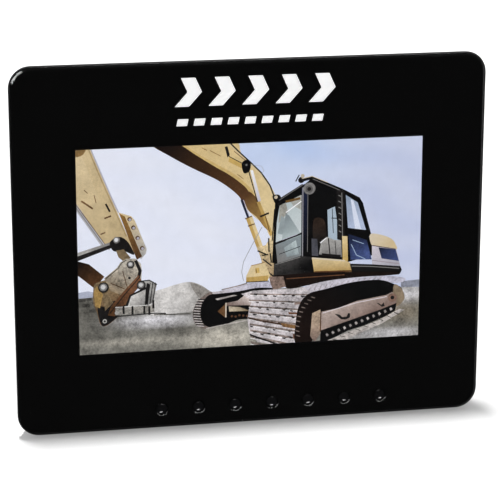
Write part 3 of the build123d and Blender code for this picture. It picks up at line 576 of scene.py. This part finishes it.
def draw_boom(d):
    """The goose-neck boom, its shaded underside, rams and hoses."""
    # the beam: its side, a warmer band, its underside and its bend
    d.soft([(33, -1), (44, -1.4), (68, -1.4), (71.5, 4), (76, 8.6), (81, 13.8), (85, 20), (87.6, 27.5),
            (88, 42), (84.6, 42.4), (82, 37), (78, 33.4), (73.4, 28.4), (70.6, 23.4), (66, 19.1), (60, 15.1),
            (50, 9.9), (40, 4)], graded(mix(YELLOW, AMBER, 0.35), YELLOW, (50, 2), (84, 30)), 0.1)
    d.soft([(46, -1), (52, 3.4), (61, 8.8), (67, 12.4), (72, 16.2), (76.6, 21.2), (79.6, 26.2), (75.8, 23),
            (71, 17.4), (66, 13.5), (60, 9.8), (52, 4.5), (43.6, -1)], mix(AMBER, YELLOW, 0.25), 0.15)
    d.soft([(43.5, -1), (33, -1), (40, 4), (50, 9.9), (60, 15.1), (66, 19.2), (70.8, 23.7), (72.8, 27.6),
            (76, 25.6), (74.5, 20.8), (71, 17.2), (66, 13.4), (60, 9.7), (52, 4.4)],
           graded(MAROON, UMBER, (40, 2), (75, 26)), 0.25)
    d.soft([(72.4, 23), (75.4, 21.6), (79.6, 26.4), (82, 32), (84.8, 39.6), (82, 38), (78.4, 33),
            (74.6, 29.6)], graded(UMBER, mix(OCHRE, AMBER, 0.3), (73, 24), (82, 36)), 0.2)
    # hoses and brackets on the back
    d.line([(66.2, -1), (70.4, 3.4), (75.6, 8.4), (80.4, 13.3), (84.4, 19.3), (86.8, 26)], 0.6, SOOT, 0.2)
    d.line([(65.8, -0.6), (70, 3.9), (75.1, 8.9), (79.9, 13.8), (83.8, 19.7)], 0.5, CREAM_LIT)
    for points in ([(58, 2.6), (62.6, 5.2)], [(54.4, 1.2), (56.6, 2.4)], [(70, 13.6), (72.6, 15.8)]):
        d.line(points, 0.3, OCHRE, 0.3)
    d.area([(64.4, 1.2), (65.6, 1), (66.6, 4.8), (65.6, 6)], SOOT, 0.3)
    d.area([(66.4, 5.8), (72.6, 9.4), (71.8, 11), (66, 7.8)], AMBER, 0.1)
    d.line([(65.4, 2), (66.4, 5.6), (72.8, 9.2)], 0.35, SOOT)
    d.line([(68.6, 3.4), (74.2, 8.2)], 0.3, UMBER)
    d.soft([(71.8, 9), (73.8, 7.3), (75.8, 9), (75.2, 12.4), (72.8, 13.2)], BLACK, 0.3)
    d.disc(73.9, 9.6, 0.5, STEEL, 0.3, sides=10)
    # the rod of the upper ram and its two bodies
    d.area([(75.6, 12), (76.8, 12), (80.6, 26.8), (79.3, 27.2)], graded(WHITE, LILAC, (76, 12), (80, 27)))
    d.line([(74.8, 12), (79, 27)], 0.45, SOOT)
    d.area([(78.4, 26.4), (81.6, 25.6), (87.4, 40.4), (84.6, 42)], mix(AMBER, OCHRE, 0.3), 0.12)
    d.area([(79.8, 26), (81.6, 25.6), (87.4, 40.4), (85.8, 41.3)], YELLOW, 0.08)
    d.line([(80.2, 32.9), (83.7, 31.6)], 0.8, SOOT)
    d.line([(82.4, 33), (84.2, 40)], 0.35, UMBER)
    d.line([(71.8, 25.2), (74.8, 33.4)], 1, NAVY)
    d.line([(72.6, 25.2), (75.2, 32.4)], 0.3, LILAC)
    # the ram below
    d.area([(73.6, 33.4), (76.4, 32.4), (81.9, 48.2), (79.2, 48.8)], mix(AMBER, OCHRE, 0.2), 0.12)
    d.area([(75, 32.8), (76.4, 32.4), (81.9, 48.2), (80.5, 48.5)], YELLOW, 0.08)
    d.line([(74.7, 37), (77.5, 36.1)], 0.5, UMBER)
    d.line([(73.4, 33.6), (76.2, 32.6)], 0.5, UMBER)
    # loose hoses
    d.line([(80.8, 37.8), (76.4, 45.6), (72.6, 53), (71.8, 57.6), (72.6, 61.6)], 0.28, mix(STEEL, SKY, 0.2))
    d.line([(76, 9.6), (80.6, 10.4), (81.6, 12.4), (80.6, 14)], 0.18, mix(STEEL, SKY, 0.3))


def draw_boom_foot(d):
    """The rusty brackets under the boom's foot and the yellow box in front of them."""
    d.area([(78.6, 46.6), (82.4, 46), (85.6, 41), (86.6, 46), (86.4, 62), (82, 60), (80.4, 52)],
           graded(CREAM, mix(RUST, CREAM, 0.4), (82, 46), (84, 62)), 0.5)
    for points in ([(79, 48.4), (82.4, 50)], [(81.4, 52.4), (85, 55.4)], [(83.8, 43), (84, 49)],
                   [(82.6, 57.6), (86.4, 60.6)], [(81, 50.6), (83.4, 50.2)], [(84.6, 50), (85, 54)]):
        d.line(points, 0.6, SOOT, 0.5)
    d.area([(73.8, 59.6), (76, 55), (82, 53.8), (84.6, 60), (83.4, 62.2), (73.8, 62.2)],
           graded(CREAM_LIT, YELLOW, (76, 55), (80, 61)), 0.12)
    d.area([(73.8, 60.2), (83.8, 59.8), (83.4, 62.2), (73.8, 62.2)], mix(AMBER, OCHRE, 0.3), 0.2)
    d.line([(76, 55), (82, 53.8)], 0.3, OCHRE)
    d.area([(77.8, 56.2), (79.6, 56), (79.8, 58.4), (78, 58.6)], AMBER, 0.2)
    d.line([(78.2, 56.6), (78.4, 58.4)], 0.3, UMBER)
    d.line([(73.8, 62.4), (84, 62.4)], 0.4, SOOT, 0.4)


def draw_cab(d):
    """The glazed cab: its dark frame, panes, seat and body."""
    d.area([(87.2, 27.2), (98.6, 20.4), (103, 16.6), (110, 19.8), (124, 27), (126.6, 34), (131, 53),
            (118, 56), (104, 61), (86, 61)], BLACK, 0.3)
    # the front panes and what is behind them
    d.area([(88.6, 28.4), (98.4, 24), (98.4, 41), (86.9, 45), (87.4, 36)],
           graded(GLASS, mix(GLASS, WHITE, 0.35), (89, 30), (98, 42)), 0.06)
    d.area([(88.6, 28.4), (91.4, 27.2), (92.4, 31.6), (88.2, 36.4)], mix(GLASS, KHAKI, 0.6), 0.3)
    d.area([(89.4, 33), (91.4, 34.6), (90, 41.6), (87.8, 41)], mix(GLASS, SLATE, 0.7), 0.1)
    d.area([(91.4, 32), (93, 33.2), (98.4, 42), (98.4, 43.6), (89.6, 44.6)],
           graded(SLATE, GLASS, (92, 34), (97, 44)), 0.08)
    d.area([(93.2, 26.4), (98.4, 24), (98.4, 30.8), (94.8, 29)], mix(GLASS, OCHRE, 0.35), 0.2)
    d.line([(91.6, 31.6), (98.2, 27)], 0.5, WHITE)
    d.area([(86.9, 46), (98.4, 42.2), (98.4, 51.6), (87.8, 54.6)],
           graded(SLATE, STEEL, (94, 46), (90, 54)), 0.12)
    d.area([(90.6, 47.6), (96, 44.4), (97.4, 50.8), (92, 51.8)],
           graded(GLASS, SLATE, (95, 45), (92, 52)), 0.15)
    d.line([(88.6, 50.4), (97.8, 47.4)], 0.3, SOOT)
    d.line([(86.4, 45.6), (99, 41.4)], 0.8, SOOT)
    d.line([(89.8, 44), (96.6, 41.8)], 0.25, LILAC)
    # the corner post, the round lamp and the roof lights
    d.area([(98.4, 19.8), (101.4, 18.6), (101.4, 55), (98.4, 54.4)],
           graded(NAVY, BLACK, (99, 24), (101, 50)), 0.2)
    d.line([(99, 20.6), (99, 53.6)], 0.4, mix(STEEL, LILAC, 0.4))
    d.line([(101.2, 24), (101.2, 50)], 0.25, STEEL)
    d.disc(101.9, 21.4, 2.7, STEEL, 0.4)
    d.disc(101.8, 21.6, 1.7, mix(STEEL, SOOT, 0.5), 0.3, sides=14)
    d.disc(101.8, 21.6, 0.9, SOOT, 0.2, sides=12)
    d.line([(95.8, 17.8), (97.2, 15.2)], 0.5, SOOT)
    d.disc(98.2, 17.4, 1.4, SOOT, 0.3)
    d.disc(98.8, 15.6, 0.9, mix(BONE, STEEL, 0.3), sides=10)
    d.soft([(85.4, 24), (88.4, 23.6), (89.6, 26.4), (87.2, 28)], SOOT, 0.4)
    d.disc(87, 24.6, 0.8, BONE, 0.2, sides=10)
    # the edges of the front and of the roof
    d.line([(87.4, 26.8), (98.8, 20)], 1.5, BLACK)
    d.line([(88.4, 26), (98.6, 19.8)], 0.3, STEEL)
    d.line([(91.6, 26.8), (97.6, 25.6)], 1.1, mix(SOOT, OCHRE, 0.5), 0.4)
    d.line([(87.2, 27), (86, 54)], 1.2, BLACK)
    d.line([(86.4, 30), (85.4, 44)], 0.5, SOOT, 0.5)
    d.line([(98, 17.6), (103, 16.6), (110, 19.8), (116, 22.6), (124, 27), (125.4, 29.4), (129.4, 44)],
           1.4, BLACK)
    d.line([(98.6, 16.8), (103, 15.9), (110, 19)], 0.3, BONE)
    d.line([(103.4, 17.2), (110, 20.2), (116, 23)], 0.25, STEEL)
    # the far window, the empty seat and the controls
    d.area([(110, 31.4), (113.4, 30), (115.8, 46), (110.6, 44.6)], mix(GLASS_BLUE, GLASS, 0.5), 0.05)
    d.line([(112, 35.2), (115, 35.4)], 0.4, SOOT)
    d.line([(112.2, 31), (112.8, 42)], 0.3, SOOT)
    d.soft([(103.8, 36), (106.6, 34.8), (109, 37), (109.6, 45), (107.4, 47.4), (104, 45)],
           graded(mix(UMBER, SOOT, 0.8), SOOT, (106, 36), (107, 46)), 0.5)
    d.area([(107.4, 45.4), (110, 43.6), (113.4, 45.2), (116.4, 45.4), (116.8, 53.2), (106.4, 51.4)],
           graded(ZINC, STEEL, (110, 44), (112, 53)), 0.25)
    d.line([(110.6, 44.4), (111.4, 51.8)], 0.5, SOOT)
    d.line([(107, 46.2), (109.6, 44.2)], 0.4, WHITE)
    d.line([(113.6, 45.6), (114.2, 52)], 0.3, SOOT)
    d.line([(108, 51.6), (116, 52.8)], 1.2, SOOT, 0.4)
    d.area([(103, 44), (105.6, 44.4), (106.2, 52.2), (103.2, 51.8)], mix(NAVY, STEEL, 0.3), 0.4)
    # the door post and its slots
    d.area([(114, 22.6), (117.6, 23), (118, 46), (114.6, 45)], SOOT, 0.35)
    d.line([(116.4, 24), (117, 44)], 0.35, STEEL)
    for step in range(7):
        d.line([(115 + 0.06 * step, 25 + 2.7 * step), (116 + 0.06 * step, 25.6 + 2.7 * step)], 0.4, STEEL)
    # the side window and the door below it
    d.area([(118.2, 25), (123.6, 28.6), (127.6, 41.4), (119.4, 40)],
           graded(mix(GLASS_BLUE, STEEL, 0.3), mix(GLASS_BLUE, SKY_DUSK, 0.6), (119, 27), (126, 40)), 0.08)
    d.area([(120.4, 27), (121.8, 27.8), (125.4, 41), (122.6, 40.6)], mix(GLASS_BLUE, SKY, 0.75), 0.03)
    d.area([(116.8, 43.6), (119.2, 43.8), (119.6, 55.2), (117.2, 55)],
           graded(YELLOW, AMBER, (118, 44), (118, 55)), 0.12)
    d.area([(119.6, 42.8), (128, 46), (130.4, 55), (120.8, 54.6)],
           graded(NAVY, INDIGO, (121, 44), (126, 54)), 0.4)
    d.line([(119.6, 41.6), (129, 45.4), (131.2, 52.4)], 1.4, BLACK)
    d.line([(121, 47.6), (123.4, 52.6), (127.4, 54.6)], 0.35, GLASS_BLUE)
    d.line([(121.6, 45.6), (126.6, 47.6)], 0.3, GLASS_BLUE)
    # the cab's dark foot
    d.area([(86.4, 54.8), (98.2, 51.8), (103, 52.4), (104.6, 60.4), (86, 60.6)],
           graded(mix(SOOT, STEEL, 0.2), BLACK, (90, 54), (96, 61)), 0.5)
    d.line([(87, 55), (98, 52.2)], 0.35, STEEL, 0.3)


def draw_house(d):
    """The machine's body behind the cab: its sill, hood and counterweight."""
    # the hood and the side with its window strip
    d.soft([(129.4, 43.6), (133.4, 43.6), (139, 45.8), (141.2, 48.6), (141.6, 51), (136, 50.2),
            (130.6, 48.8)], graded(BONE, CREAM, (132, 44), (138, 50)), 0.06)
    d.area([(130.4, 48.4), (141.4, 50.6), (143.6, 58.8), (130.6, 57.4)],
           graded(mix(LILAC, BLUSH, 0.6), mix(LILAC, STEEL, 0.35), (132, 49), (139, 58)), 0.08)
    d.area([(133.4, 49.6), (141.3, 51), (142.9, 56.4), (134.9, 54.8)],
           graded(NAVY, INDIGO, (134, 50), (141, 56)), 0.25)
    d.line([(130.6, 48.6), (141.2, 50.8)], 0.35, mix(NAVY, RUST, 0.3))
    d.line([(130.6, 55.4), (136, 56.4), (143, 57.6)], 0.35, mix(RUST, LILAC, 0.5), 0.2)
    # the sill, the counterweight and the ring below
    d.area([(103.2, 52.8), (118, 54.6), (120.6, 56), (121.8, 60.2), (104.4, 60)],
           graded(YELLOW, mix(AMBER, OCHRE, 0.5), (112, 54), (112, 60)), 0.15)
    d.line([(103.4, 53), (118, 54.9)], 0.7, BONE)
    d.line([(104.6, 59.4), (121.4, 59.8)], 0.7, UMBER, 0.3)
    d.area([(120.4, 56.4), (130, 57.2), (143.6, 58.8), (144.3, 60.6), (143.4, 62.4), (121.6, 60.8)],
           graded(SOOT, BLACK, (130, 57), (130, 62)), 0.25)
    d.line([(121.4, 57.6), (130, 58.2), (143, 59.8)], 0.35, STEEL)
    d.area([(86, 60), (104.4, 59.6), (121.6, 60.2), (143.6, 61.6), (143, 62.6), (120, 63.4), (110, 64),
            (100, 65.6), (93, 66.8), (89.4, 64)], MAROON, 0.45)
    d.line([(92, 61.8), (118, 61.4)], 0.4, mix(UMBER, RUST, 0.5), 0.5)
    d.area([(84, 60.4), (90.4, 60.6), (91.6, 65.4), (86, 66.6), (84.8, 64)], mix(MUD, RUST, 0.35), 0.6)


def draw_far_track(d):
    """The track on the far side: its belt round the front, its dark inside and the roller frame."""
    d.soft([(57.6, 66.6), (64, 65.4), (70, 64.3), (75, 62.8), (86, 63), (87.4, 66.2), (79, 65.4),
            (66, 67.1)], graded(mix(TREAD, LILAC, 0.4), LILAC, (60, 66), (78, 64)), 0.35)
    d.line([(63, 65.2), (70, 63.9), (74, 62.9)], 0.5, MUD, 0.6)
    # the belt and its shoes, round the front
    d.soft([(58.6, 66.2), (54.2, 68), (51.4, 71.2), (50.1, 75), (50.5, 79), (52.8, 81.8), (58, 82.4),
            (60, 75)], mix(MUD, SOOT, 0.35), 0.5)
    for i in range(11):
        v = 69 + 1.16 * i
        u = 50.2 + 0.055 * (v - 75.6) ** 2
        d.line([(u, v), (u + 3.8, v + 0.4)], 0.5, SOOT, 0.4)
        d.line([(u + 0.2, v + 0.5), (u + 3.4, v + 0.9)], 0.3, mix(TREAD, WHITE, 0.3), 0.3)
    # the dark inside
    d.soft([(57.6, 67.2), (62, 66.9), (70, 66.4), (79, 65.2), (87.6, 66), (87, 67.4), (78, 68.2), (76, 72),
            (76, 78.6), (70, 79.4), (64, 81.4), (58, 82.2), (54.8, 80.4), (53.4, 76.6), (53.8, 72),
            (55.4, 69)], BLACK, 0.35)
    d.area([(60, 69.2), (68.4, 67.8), (69.8, 68.2), (61, 69.9)], mix(TREAD, STEEL, 0.3), 0.4)
    d.area([(61, 75), (64.6, 71.6), (64.4, 78)], graded(UMBER, BROWN, (61, 75), (64.4, 75)), 0.4)
    d.area([(64.8, 71.4), (70, 70.6), (73.6, 67.9), (77, 67.3), (76.6, 73), (65, 72.6)],
           graded(mix(GIRDER, TREAD, 0.5), TAUPE, (70, 68), (68, 73)), 0.3)
    d.line([(64.8, 71.4), (64.7, 77.8)], 0.55, mix(BONE, TREAD, 0.4), 0.2)
    d.area([(66, 73), (71, 73.6), (75.6, 75.6), (66.2, 75.4)], graded(BONE, KHAKI, (67, 73), (74, 76)), 0.3)
    for i in range(5):
        d.disc(67.4 + 1.7 * i, 77.6 + 0.3 * sin(2.1 * i), 0.55, mix(RUST, SOOT, 0.4), 0.4, sides=8)
    d.line([(56, 82.6), (64, 81.3), (74, 79.9)], 0.5, mix(TREAD, GROUND, 0.5), 0.5)


def draw_near_track(d):
    """The near track: the run of shoes that comes forward, the belt along the side and its frame."""
    # the belt's upper run, a line for each shoe
    d.soft([(99, 66.4), (110, 63.8), (126, 62.8), (138, 63), (146, 64.6), (143, 66.6), (134, 65.6),
            (122, 65.6), (110, 68), (101, 69.6)],
           graded(mix(TREAD, LILAC, 0.6), LILAC, (104, 67), (140, 64)), 0.35)
    for i in range(14):
        d.line([(101.6 + 2.4 * i, 69 - 4.2 * sin(0.094 * i)), (102.8 + 2.5 * i, 66.2 - 3.2 * sin(0.1 * i))],
               0.3, mix(MUD, LILAC, 0.35), 0.6)
    # the shoes, each with a shadow, a lit edge and clods
    d.area([(71.6, 67.6), (77, 66.4), (87, 66.4), (93, 66.4), (100, 66.2), (102.6, 68.6), (100, 73),
            (97.6, 77), (96.4, 84), (96.8, 92), (86.6, 92), (79, 90.2), (75.4, 86.4), (74.4, 80), (75, 75),
            (76.4, 71)], mix(TREAD, LILAC, 0.3), 0.45)
    for i in range(9):
        left = Vector((74.9 + 0.7 * (i < 1) + 0.12 * i, 67.6 + 2.75 * i))
        right = Vector((96.4 + 5.2 * exp(-0.62 * i), 69.4 + 3.3 * i))
        drop = Vector((0, 0.62 + 0.05 * i))
        d.area([left, right, right + drop, left + drop], mix(MUD, SOIL, 0.12 * (i % 3)), 0.8)
        d.line([left + 1.4 * drop, left.lerp(right, 0.4) + 1.5 * drop, right + 1.4 * drop], 0.4,
               mix(TREAD, WHITE, 0.55), 0.3)
        for k in range(6):
            place = left.lerp(right, (0.07 + 0.161 * k + 0.37 * i) % 0.96)
            step = drop * (0.2 + 0.5 * ((k + i) % 3))
            d.area([place + step, place + step + Vector((1.4 + 0.4 * (k % 3), 0.3)),
                    place + step + Vector((1.1, 0.9)), place + step + Vector((0.1, 0.55))],
                   mix(SOOT, MUD, 0.3 * ((k * i) % 3)), 0.6)
    d.line([(74.8, 78.8), (80, 80.4), (86, 81.8), (96.4, 84.2)], 0.75, mix(SOOT, UMBER, 0.5), 0.6)
    d.line([(75.6, 86.6), (80, 88.6), (88, 91.8)], 0.7, SOOT, 0.5)
    d.area([(89.4, 82), (96.2, 83.4), (96, 85.2), (90.2, 83.8)], mix(RUST, AMBER, 0.15), 0.5)
    d.area([(92.8, 77.2), (96.8, 77.6), (96.6, 78.4), (93, 78.2)], RUST, 0.5)
    d.area([(94.8, 87.4), (96.4, 87.8), (96.4, 90), (95.2, 89.4)], RUST, 0.5)
    d.area([(95.4, 73.2), (98.8, 72.9), (98.2, 73.8), (95.6, 74)], mix(RUST, TREAD, 0.3), 0.4)
    # the dark inside of the belt
    d.soft([(101.6, 69.4), (110, 67.4), (122, 65), (134, 64.6), (141, 67), (144.4, 69), (145, 73),
            (141.6, 76), (138, 73.6), (124, 75), (115, 77.6), (107.6, 79.4), (104, 84.4), (103.4, 92),
            (96.2, 92), (96, 84), (97.4, 75)], graded(BLACK, MAROON, (120, 66), (100, 90)), 0.35)
    for i in range(10):
        angle = radians(118 + 8.4 * i)
        u, v = 109.4 + 13.2 * cos(angle), 84.6 - 15.6 * sin(angle)
        d.line([(u, v), (u + 1.5, v + 0.5)], 0.42, mix(MUD, SOOT, 0.3), 0.4)
    d.soft([(140.8, 67.2), (144.4, 69.4), (145.8, 74), (142.4, 77.4), (140.6, 75)],
           mix(OCHRE, GROUND, 0.6), 0.4)
    # the frame between the wheels
    d.area([(103.6, 78.4), (107.4, 76.8), (107.2, 88.4), (104.8, 91.8), (102.8, 89)],
           graded(mix(AMBER, GIRDER, 0.7), TAUPE, (105, 78), (104, 92)), 0.35)
    d.area([(107.2, 78), (115, 76.8), (124, 73.8), (137.5, 71.8), (140, 70.6), (142.4, 72.6), (142, 77.4),
            (131, 80.6), (121, 83), (107.2, 87.2)], graded(GIRDER, TAUPE, (120, 75), (124, 83)), 0.22)
    d.line([(108.4, 78.6), (124, 74.6), (137.6, 72.6)], 0.35, BLUSH)
    d.line([(107.6, 78), (107.4, 87)], 0.5, UMBER, 0.3)
    # the rollers in the shadow below it
    d.area([(107.6, 86.6), (121, 82.6), (135, 78.4), (142.2, 75.8), (141.6, 79.4), (137, 81.8), (127, 85.6),
            (120, 87.4), (115, 89.8), (109, 92), (107.2, 92)], BLACK, 0.35)
    for i in range(12):
        u, v = 110.4 + 2.65 * i, 88.9 - 0.94 * i
        d.area([(u - 0.6, v - 0.3), (u + 0.1, v - 0.9), (u + 0.9, v + 0.1), (u, v + 0.8)],
               mix(TREAD, SOOT, 0.25 if i % 2 else 0.5), 0.4)
    # two steps cut in the frame, and the wheel behind
    d.area([(113.8, 79.2), (116.2, 79.8), (117.4, 81), (119.4, 80.8), (120, 79.2), (121, 79.6),
            (120.8, 81.4), (118.8, 82.2), (116.8, 81.9)], SOOT, 0.3)
    d.area([(132.8, 75.2), (134.2, 75.6), (135.2, 76.4), (136.2, 75.2), (136.8, 77), (135.4, 77.2)],
           SOOT, 0.3)
    d.disc(140.2, 73.2, 2, mix(TAUPE, RUST, 0.4), 0.4)
    d.disc(140.2, 73.2, 0.9, SOOT, 0.3, sides=12)
    # the lower run of the belt
    d.area([(109.6, 91.8), (120, 88.2), (134, 83.4), (143.6, 78.6), (146, 79.2), (136, 84.8), (122, 90.4),
            (118, 92)], mix(TREAD, GROUND, 0.35), 0.5)
    for i in range(9):
        d.line([(113 + 3.5 * i, 91 - 1.38 * i), (115.2 + 3.5 * i, 91.6 - 1.3 * i)], 0.35, SOIL, 0.5)


def picture():
    """The lit front film of the display, and the drawing of a building site that it shows."""
    drawing = Drawing()
    for draw in (draw_land, draw_dipper, draw_coupler, draw_boom, draw_boom_foot, draw_far_track, draw_cab,
                 draw_house, draw_near_track):
        draw(drawing)
    film = placed("lit_picture", drawing.mesh("lit_picture", SCREEN_W, SCREEN_H, PICTURE_MESH))
    film.data.materials.append(picture_light())
    thickness = film.modifiers.new("thickness", "SOLIDIFY")
    thickness.thickness = PICTURE_THICK * MM
    thickness.offset = 1.0 if film.data.polygons[0].normal.dot(INWARD) > 0 else -1.0
    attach(film, "root")


# ---- The printed mark, in panel axes ----
MARK_LEFT, MARK_BOTTOM = -33.5, 62.2  # the first chevron's lower left corner
CHEVRONS, CHEVRON_PITCH, CHEVRON_H = 5, 14.6, 12.4
CHEVRON_STROKE, CHEVRON_POINT, CHEVRON_LEAN = 6.2, 4.2, 0.22
DASHES, DASH_PITCH, DASH_W, DASH_H, DASH_LEAN = 9, 7.4, 4.6, 3.0, 0.7
DASH_LEFT, DASH_BOTTOM = MARK_LEFT + 0.6, MARK_BOTTOM - 8.4


def plate(outline):
    """The corners and faces of a thin plate from its outline."""
    count = len(outline)
    corners = [on_panel(x, y, depth) for depth in (MARK_DEPTH, MARK_DEPTH + MARK_THICK) for x, y in outline]
    sides = [(i, (i + 1) % count, count + (i + 1) % count, count + i) for i in range(count)]
    return corners, [tuple(reversed(range(count))), tuple(range(count, 2 * count))] + sides


def chevron(left):
    """An arrowhead stroke that leans to the right."""
    tip = CHEVRON_STROKE + CHEVRON_POINT
    corners = [(0, 0), (CHEVRON_STROKE, 0), (tip, 0.5), (CHEVRON_STROKE, 1), (0, 1), (CHEVRON_POINT, 0.5)]
    lean = CHEVRON_LEAN * CHEVRON_H
    return [(left + dx + lean * level, MARK_BOTTOM + CHEVRON_H * level) for dx, level in corners]


def dash(left):
    top = DASH_BOTTOM + DASH_H
    return [(left, DASH_BOTTOM), (left + DASH_W, DASH_BOTTOM), (left + DASH_W + DASH_LEAN, top),
            (left + DASH_LEAN, top)]


def printed_mark():
    """A plain decoration in white ink: a row of leaning chevrons over a row of dashes."""
    outlines = [chevron(MARK_LEFT + CHEVRON_PITCH * i) for i in range(CHEVRONS)]
    outlines += [dash(DASH_LEFT + DASH_PITCH * i) for i in range(DASHES)]
    corners, faces = [], []
    for outline in outlines:
        places, loops = plate(outline)
        faces += [tuple(len(corners) + k for k in loop) for loop in loops]
        corners += places
    mesh = bpy.data.meshes.new("printed_mark")
    mesh.from_pydata(corners, [], faces)
    mesh.materials.append(glowing_white_ink())
    mark = placed("printed_mark", mesh)
    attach(mark, "root")


# ---- Studio ----
CAMERA_AZIMUTH, CAMERA_ELEVATION, CAMERA_ROLL = -11.87, 25.33, 2.18  # degrees
CAMERA_DISTANCE = 907.8
LENS, SENSOR = 150.0, 36.0
AIM_X, AIM_Y = -1.1, -2.2  # where the camera's axis meets the panel

FLOOR_HALF = 6000.0
PAPER_DARK, PAPER_LIGHT = 0.29, 0.31  # the paper's fibres
PAPER_GLOW, PAPER_GLOW_AWAY = 0.2, 1.2  # the paper's own light, near the object and further off
GLOW_START, GLOW_END = 250.0, 1200.0  # from the object, where that light changes

# How bright the white surroundings are, by the kind of ray and, mirrored, by where the ray goes
DIFFUSE_GLOW, THROUGH_GLOW, SEEN_GLOW = 0.45, 0.02, 1.2
FRONT_GLOW, TOP_GLOW, BACK_GLOW = 0.04, 0.15, 4.4  # mirrored in front, above and behind
BAND_GLOW = 3.0  # a mirrored band overhead, a little in front
FLOOR_SHARE = 0.13  # of the glow behind, below the horizon

# Where the mirrored glows start and end, as parts of the ray's direction: away from the viewer, or upward
FRONT_TO_TOP, LOW_TO_LEVEL, LEVEL_TO_BAND = (0.2, 0.95), (-0.7, 0.0), (0.0, 0.3)
SIDE_TO_BACK, BAND_FRONT, BAND_BACK = (0.1, 0.95), (-0.5, -0.35), (-0.13, -0.03)


def from_sphere(azimuth, elevation, distance):
    """An offset from the object: azimuth 0 is in front of it, at -Y, and positive is to the right."""
    turn, climb = radians(azimuth), radians(elevation)
    flat = distance * cos(climb)
    return Vector((flat * sin(turn), -flat * cos(turn), distance * sin(climb))) * MM


def camera():
    data = bpy.data.cameras.new("camera")
    data.lens, data.sensor_width = LENS, SENSOR
    eye = placed("camera", data)
    offset = from_sphere(CAMERA_AZIMUTH, CAMERA_ELEVATION, CAMERA_DISTANCE)
    place = Matrix.Translation(on_panel(AIM_X, AIM_Y, 0.0) + offset)
    facing = (-offset).to_track_quat("-Z", "Y").to_matrix().to_4x4()
    eye.matrix_world = place @ facing @ Matrix.Rotation(radians(CAMERA_ROLL), 4, "Z")
    bpy.context.scene.camera = eye


def area_light(name, azimuth, elevation, distance, width, height, power, mirrored=True):
    """A soft light that faces the panel's middle. Glossy surfaces show it if it is mirrored, and clear ones
    never let it through."""
    data = bpy.data.lights.new(name, "AREA")
    data.shape = "RECTANGLE"
    data.size, data.size_y = width * MM, height * MM
    data.energy = power
    lamp = placed(name, data)
    offset = from_sphere(azimuth, elevation, distance)
    lamp.location = PANEL_FRONT + offset
    lamp.rotation_euler = (-offset).to_track_quat("-Z", "Y").to_euler()
    lamp.visible_glossy = mirrored
    lamp.visible_transmission = False


def floor_paper():
    """Grey paper that glows of itself: painted light, weak near the object and strong further off, so that
    the floor shows pure white.
    """
    finish = Finish("floor_paper", Roughness=0.95, Emission_Color=grey(1.0))
    fibres = finish.noise(0.8, detail=3.0)
    away = finish.node("VectorMath", {0: finish.place}, operation="LENGTH").outputs["Value"]
    finish.set("Base Color", finish.colours(fibres, grey(PAPER_DARK), grey(PAPER_LIGHT)))
    finish.set("Emission Strength", finish.between(away, PAPER_GLOW, PAPER_GLOW_AWAY, GLOW_START * MM,
                                                   GLOW_END * MM))
    return finish.material


def floor():
    """A large pale sheet that the object stands on. Glossy and clear surfaces don't show it."""
    half = FLOOR_HALF * MM
    mesh = bpy.data.meshes.new("floor")
    mesh.from_pydata([(-half, -half, 0.0), (half, -half, 0.0), (half, half, 0.0), (-half, half, 0.0)],
                     [], [(0, 1, 2, 3)])
    mesh.materials.append(floor_paper())
    sheet = placed("floor", mesh)
    sheet.visible_glossy = False
    sheet.visible_transmission = False


def surroundings():
    """White behind everything. Mirrored, it is bright behind the object and in a band overhead, dim above and
    nearly dark in front. As diffuse light it is even, and through clear sheet it is nearly dark."""
    world = bpy.data.worlds.new("studio")
    bpy.context.scene.world = world
    world.use_nodes = True
    world.node_tree.nodes.clear()
    tree = Tree(world.node_tree)
    ray = tree.node("LightPath", {}).outputs
    direction = tree.node("SeparateXYZ", {"Vector": tree.node("TexCoord", {}).outputs["Generated"]})
    away, up = direction.outputs["Y"], direction.outputs["Z"]

    def ramp(output, ends, low, high):
        return tree.between(output, low, high, *ends, curve="SMOOTHSTEP")

    def white(strength):
        return tree.node("Background", {"Color": grey(1.0), "Strength": strength}).outputs["Background"]

    above = ramp(up, FRONT_TO_TOP, FRONT_GLOW, TOP_GLOW)
    behind = tree.maths("MULTIPLY_ADD", ramp(away, SIDE_TO_BACK, 0.0, BACK_GLOW),
                        ramp(up, LOW_TO_LEVEL, FLOOR_SHARE, 1.0), above)
    band = tree.maths("MULTIPLY", ramp(away, BAND_FRONT, 0.0, BAND_GLOW), ramp(away, BAND_BACK, 1.0, 0.0))
    light = white(tree.maths("MULTIPLY_ADD", band, ramp(up, LEVEL_TO_BAND, 0.0, 1.0), behind))
    for kind, glow in (("Diffuse", DIFFUSE_GLOW), ("Transmission", THROUGH_GLOW), ("Camera", SEEN_GLOW)):
        chosen = {"Fac": ray[f"Is {kind} Ray"], 1: light, 2: white(glow)}
        light = tree.node("MixShader", chosen).outputs["Shader"]
    tree.node("OutputWorld", {"Surface": light})


bpy.context.scene.view_settings.view_transform = "Standard"
finish_frame()
picture()
printed_mark()
camera()
floor()
surroundings()
area_light("key", azimuth=-168, elevation=77.7, distance=6000, width=440, height=440, power=960,
           mirrored=False)
area_light("side", azimuth=-84, elevation=38, distance=2000, width=160, height=1900, power=8)
area_light("strip", azimuth=12, elevation=13.5, distance=900, width=380, height=44, power=1.6)
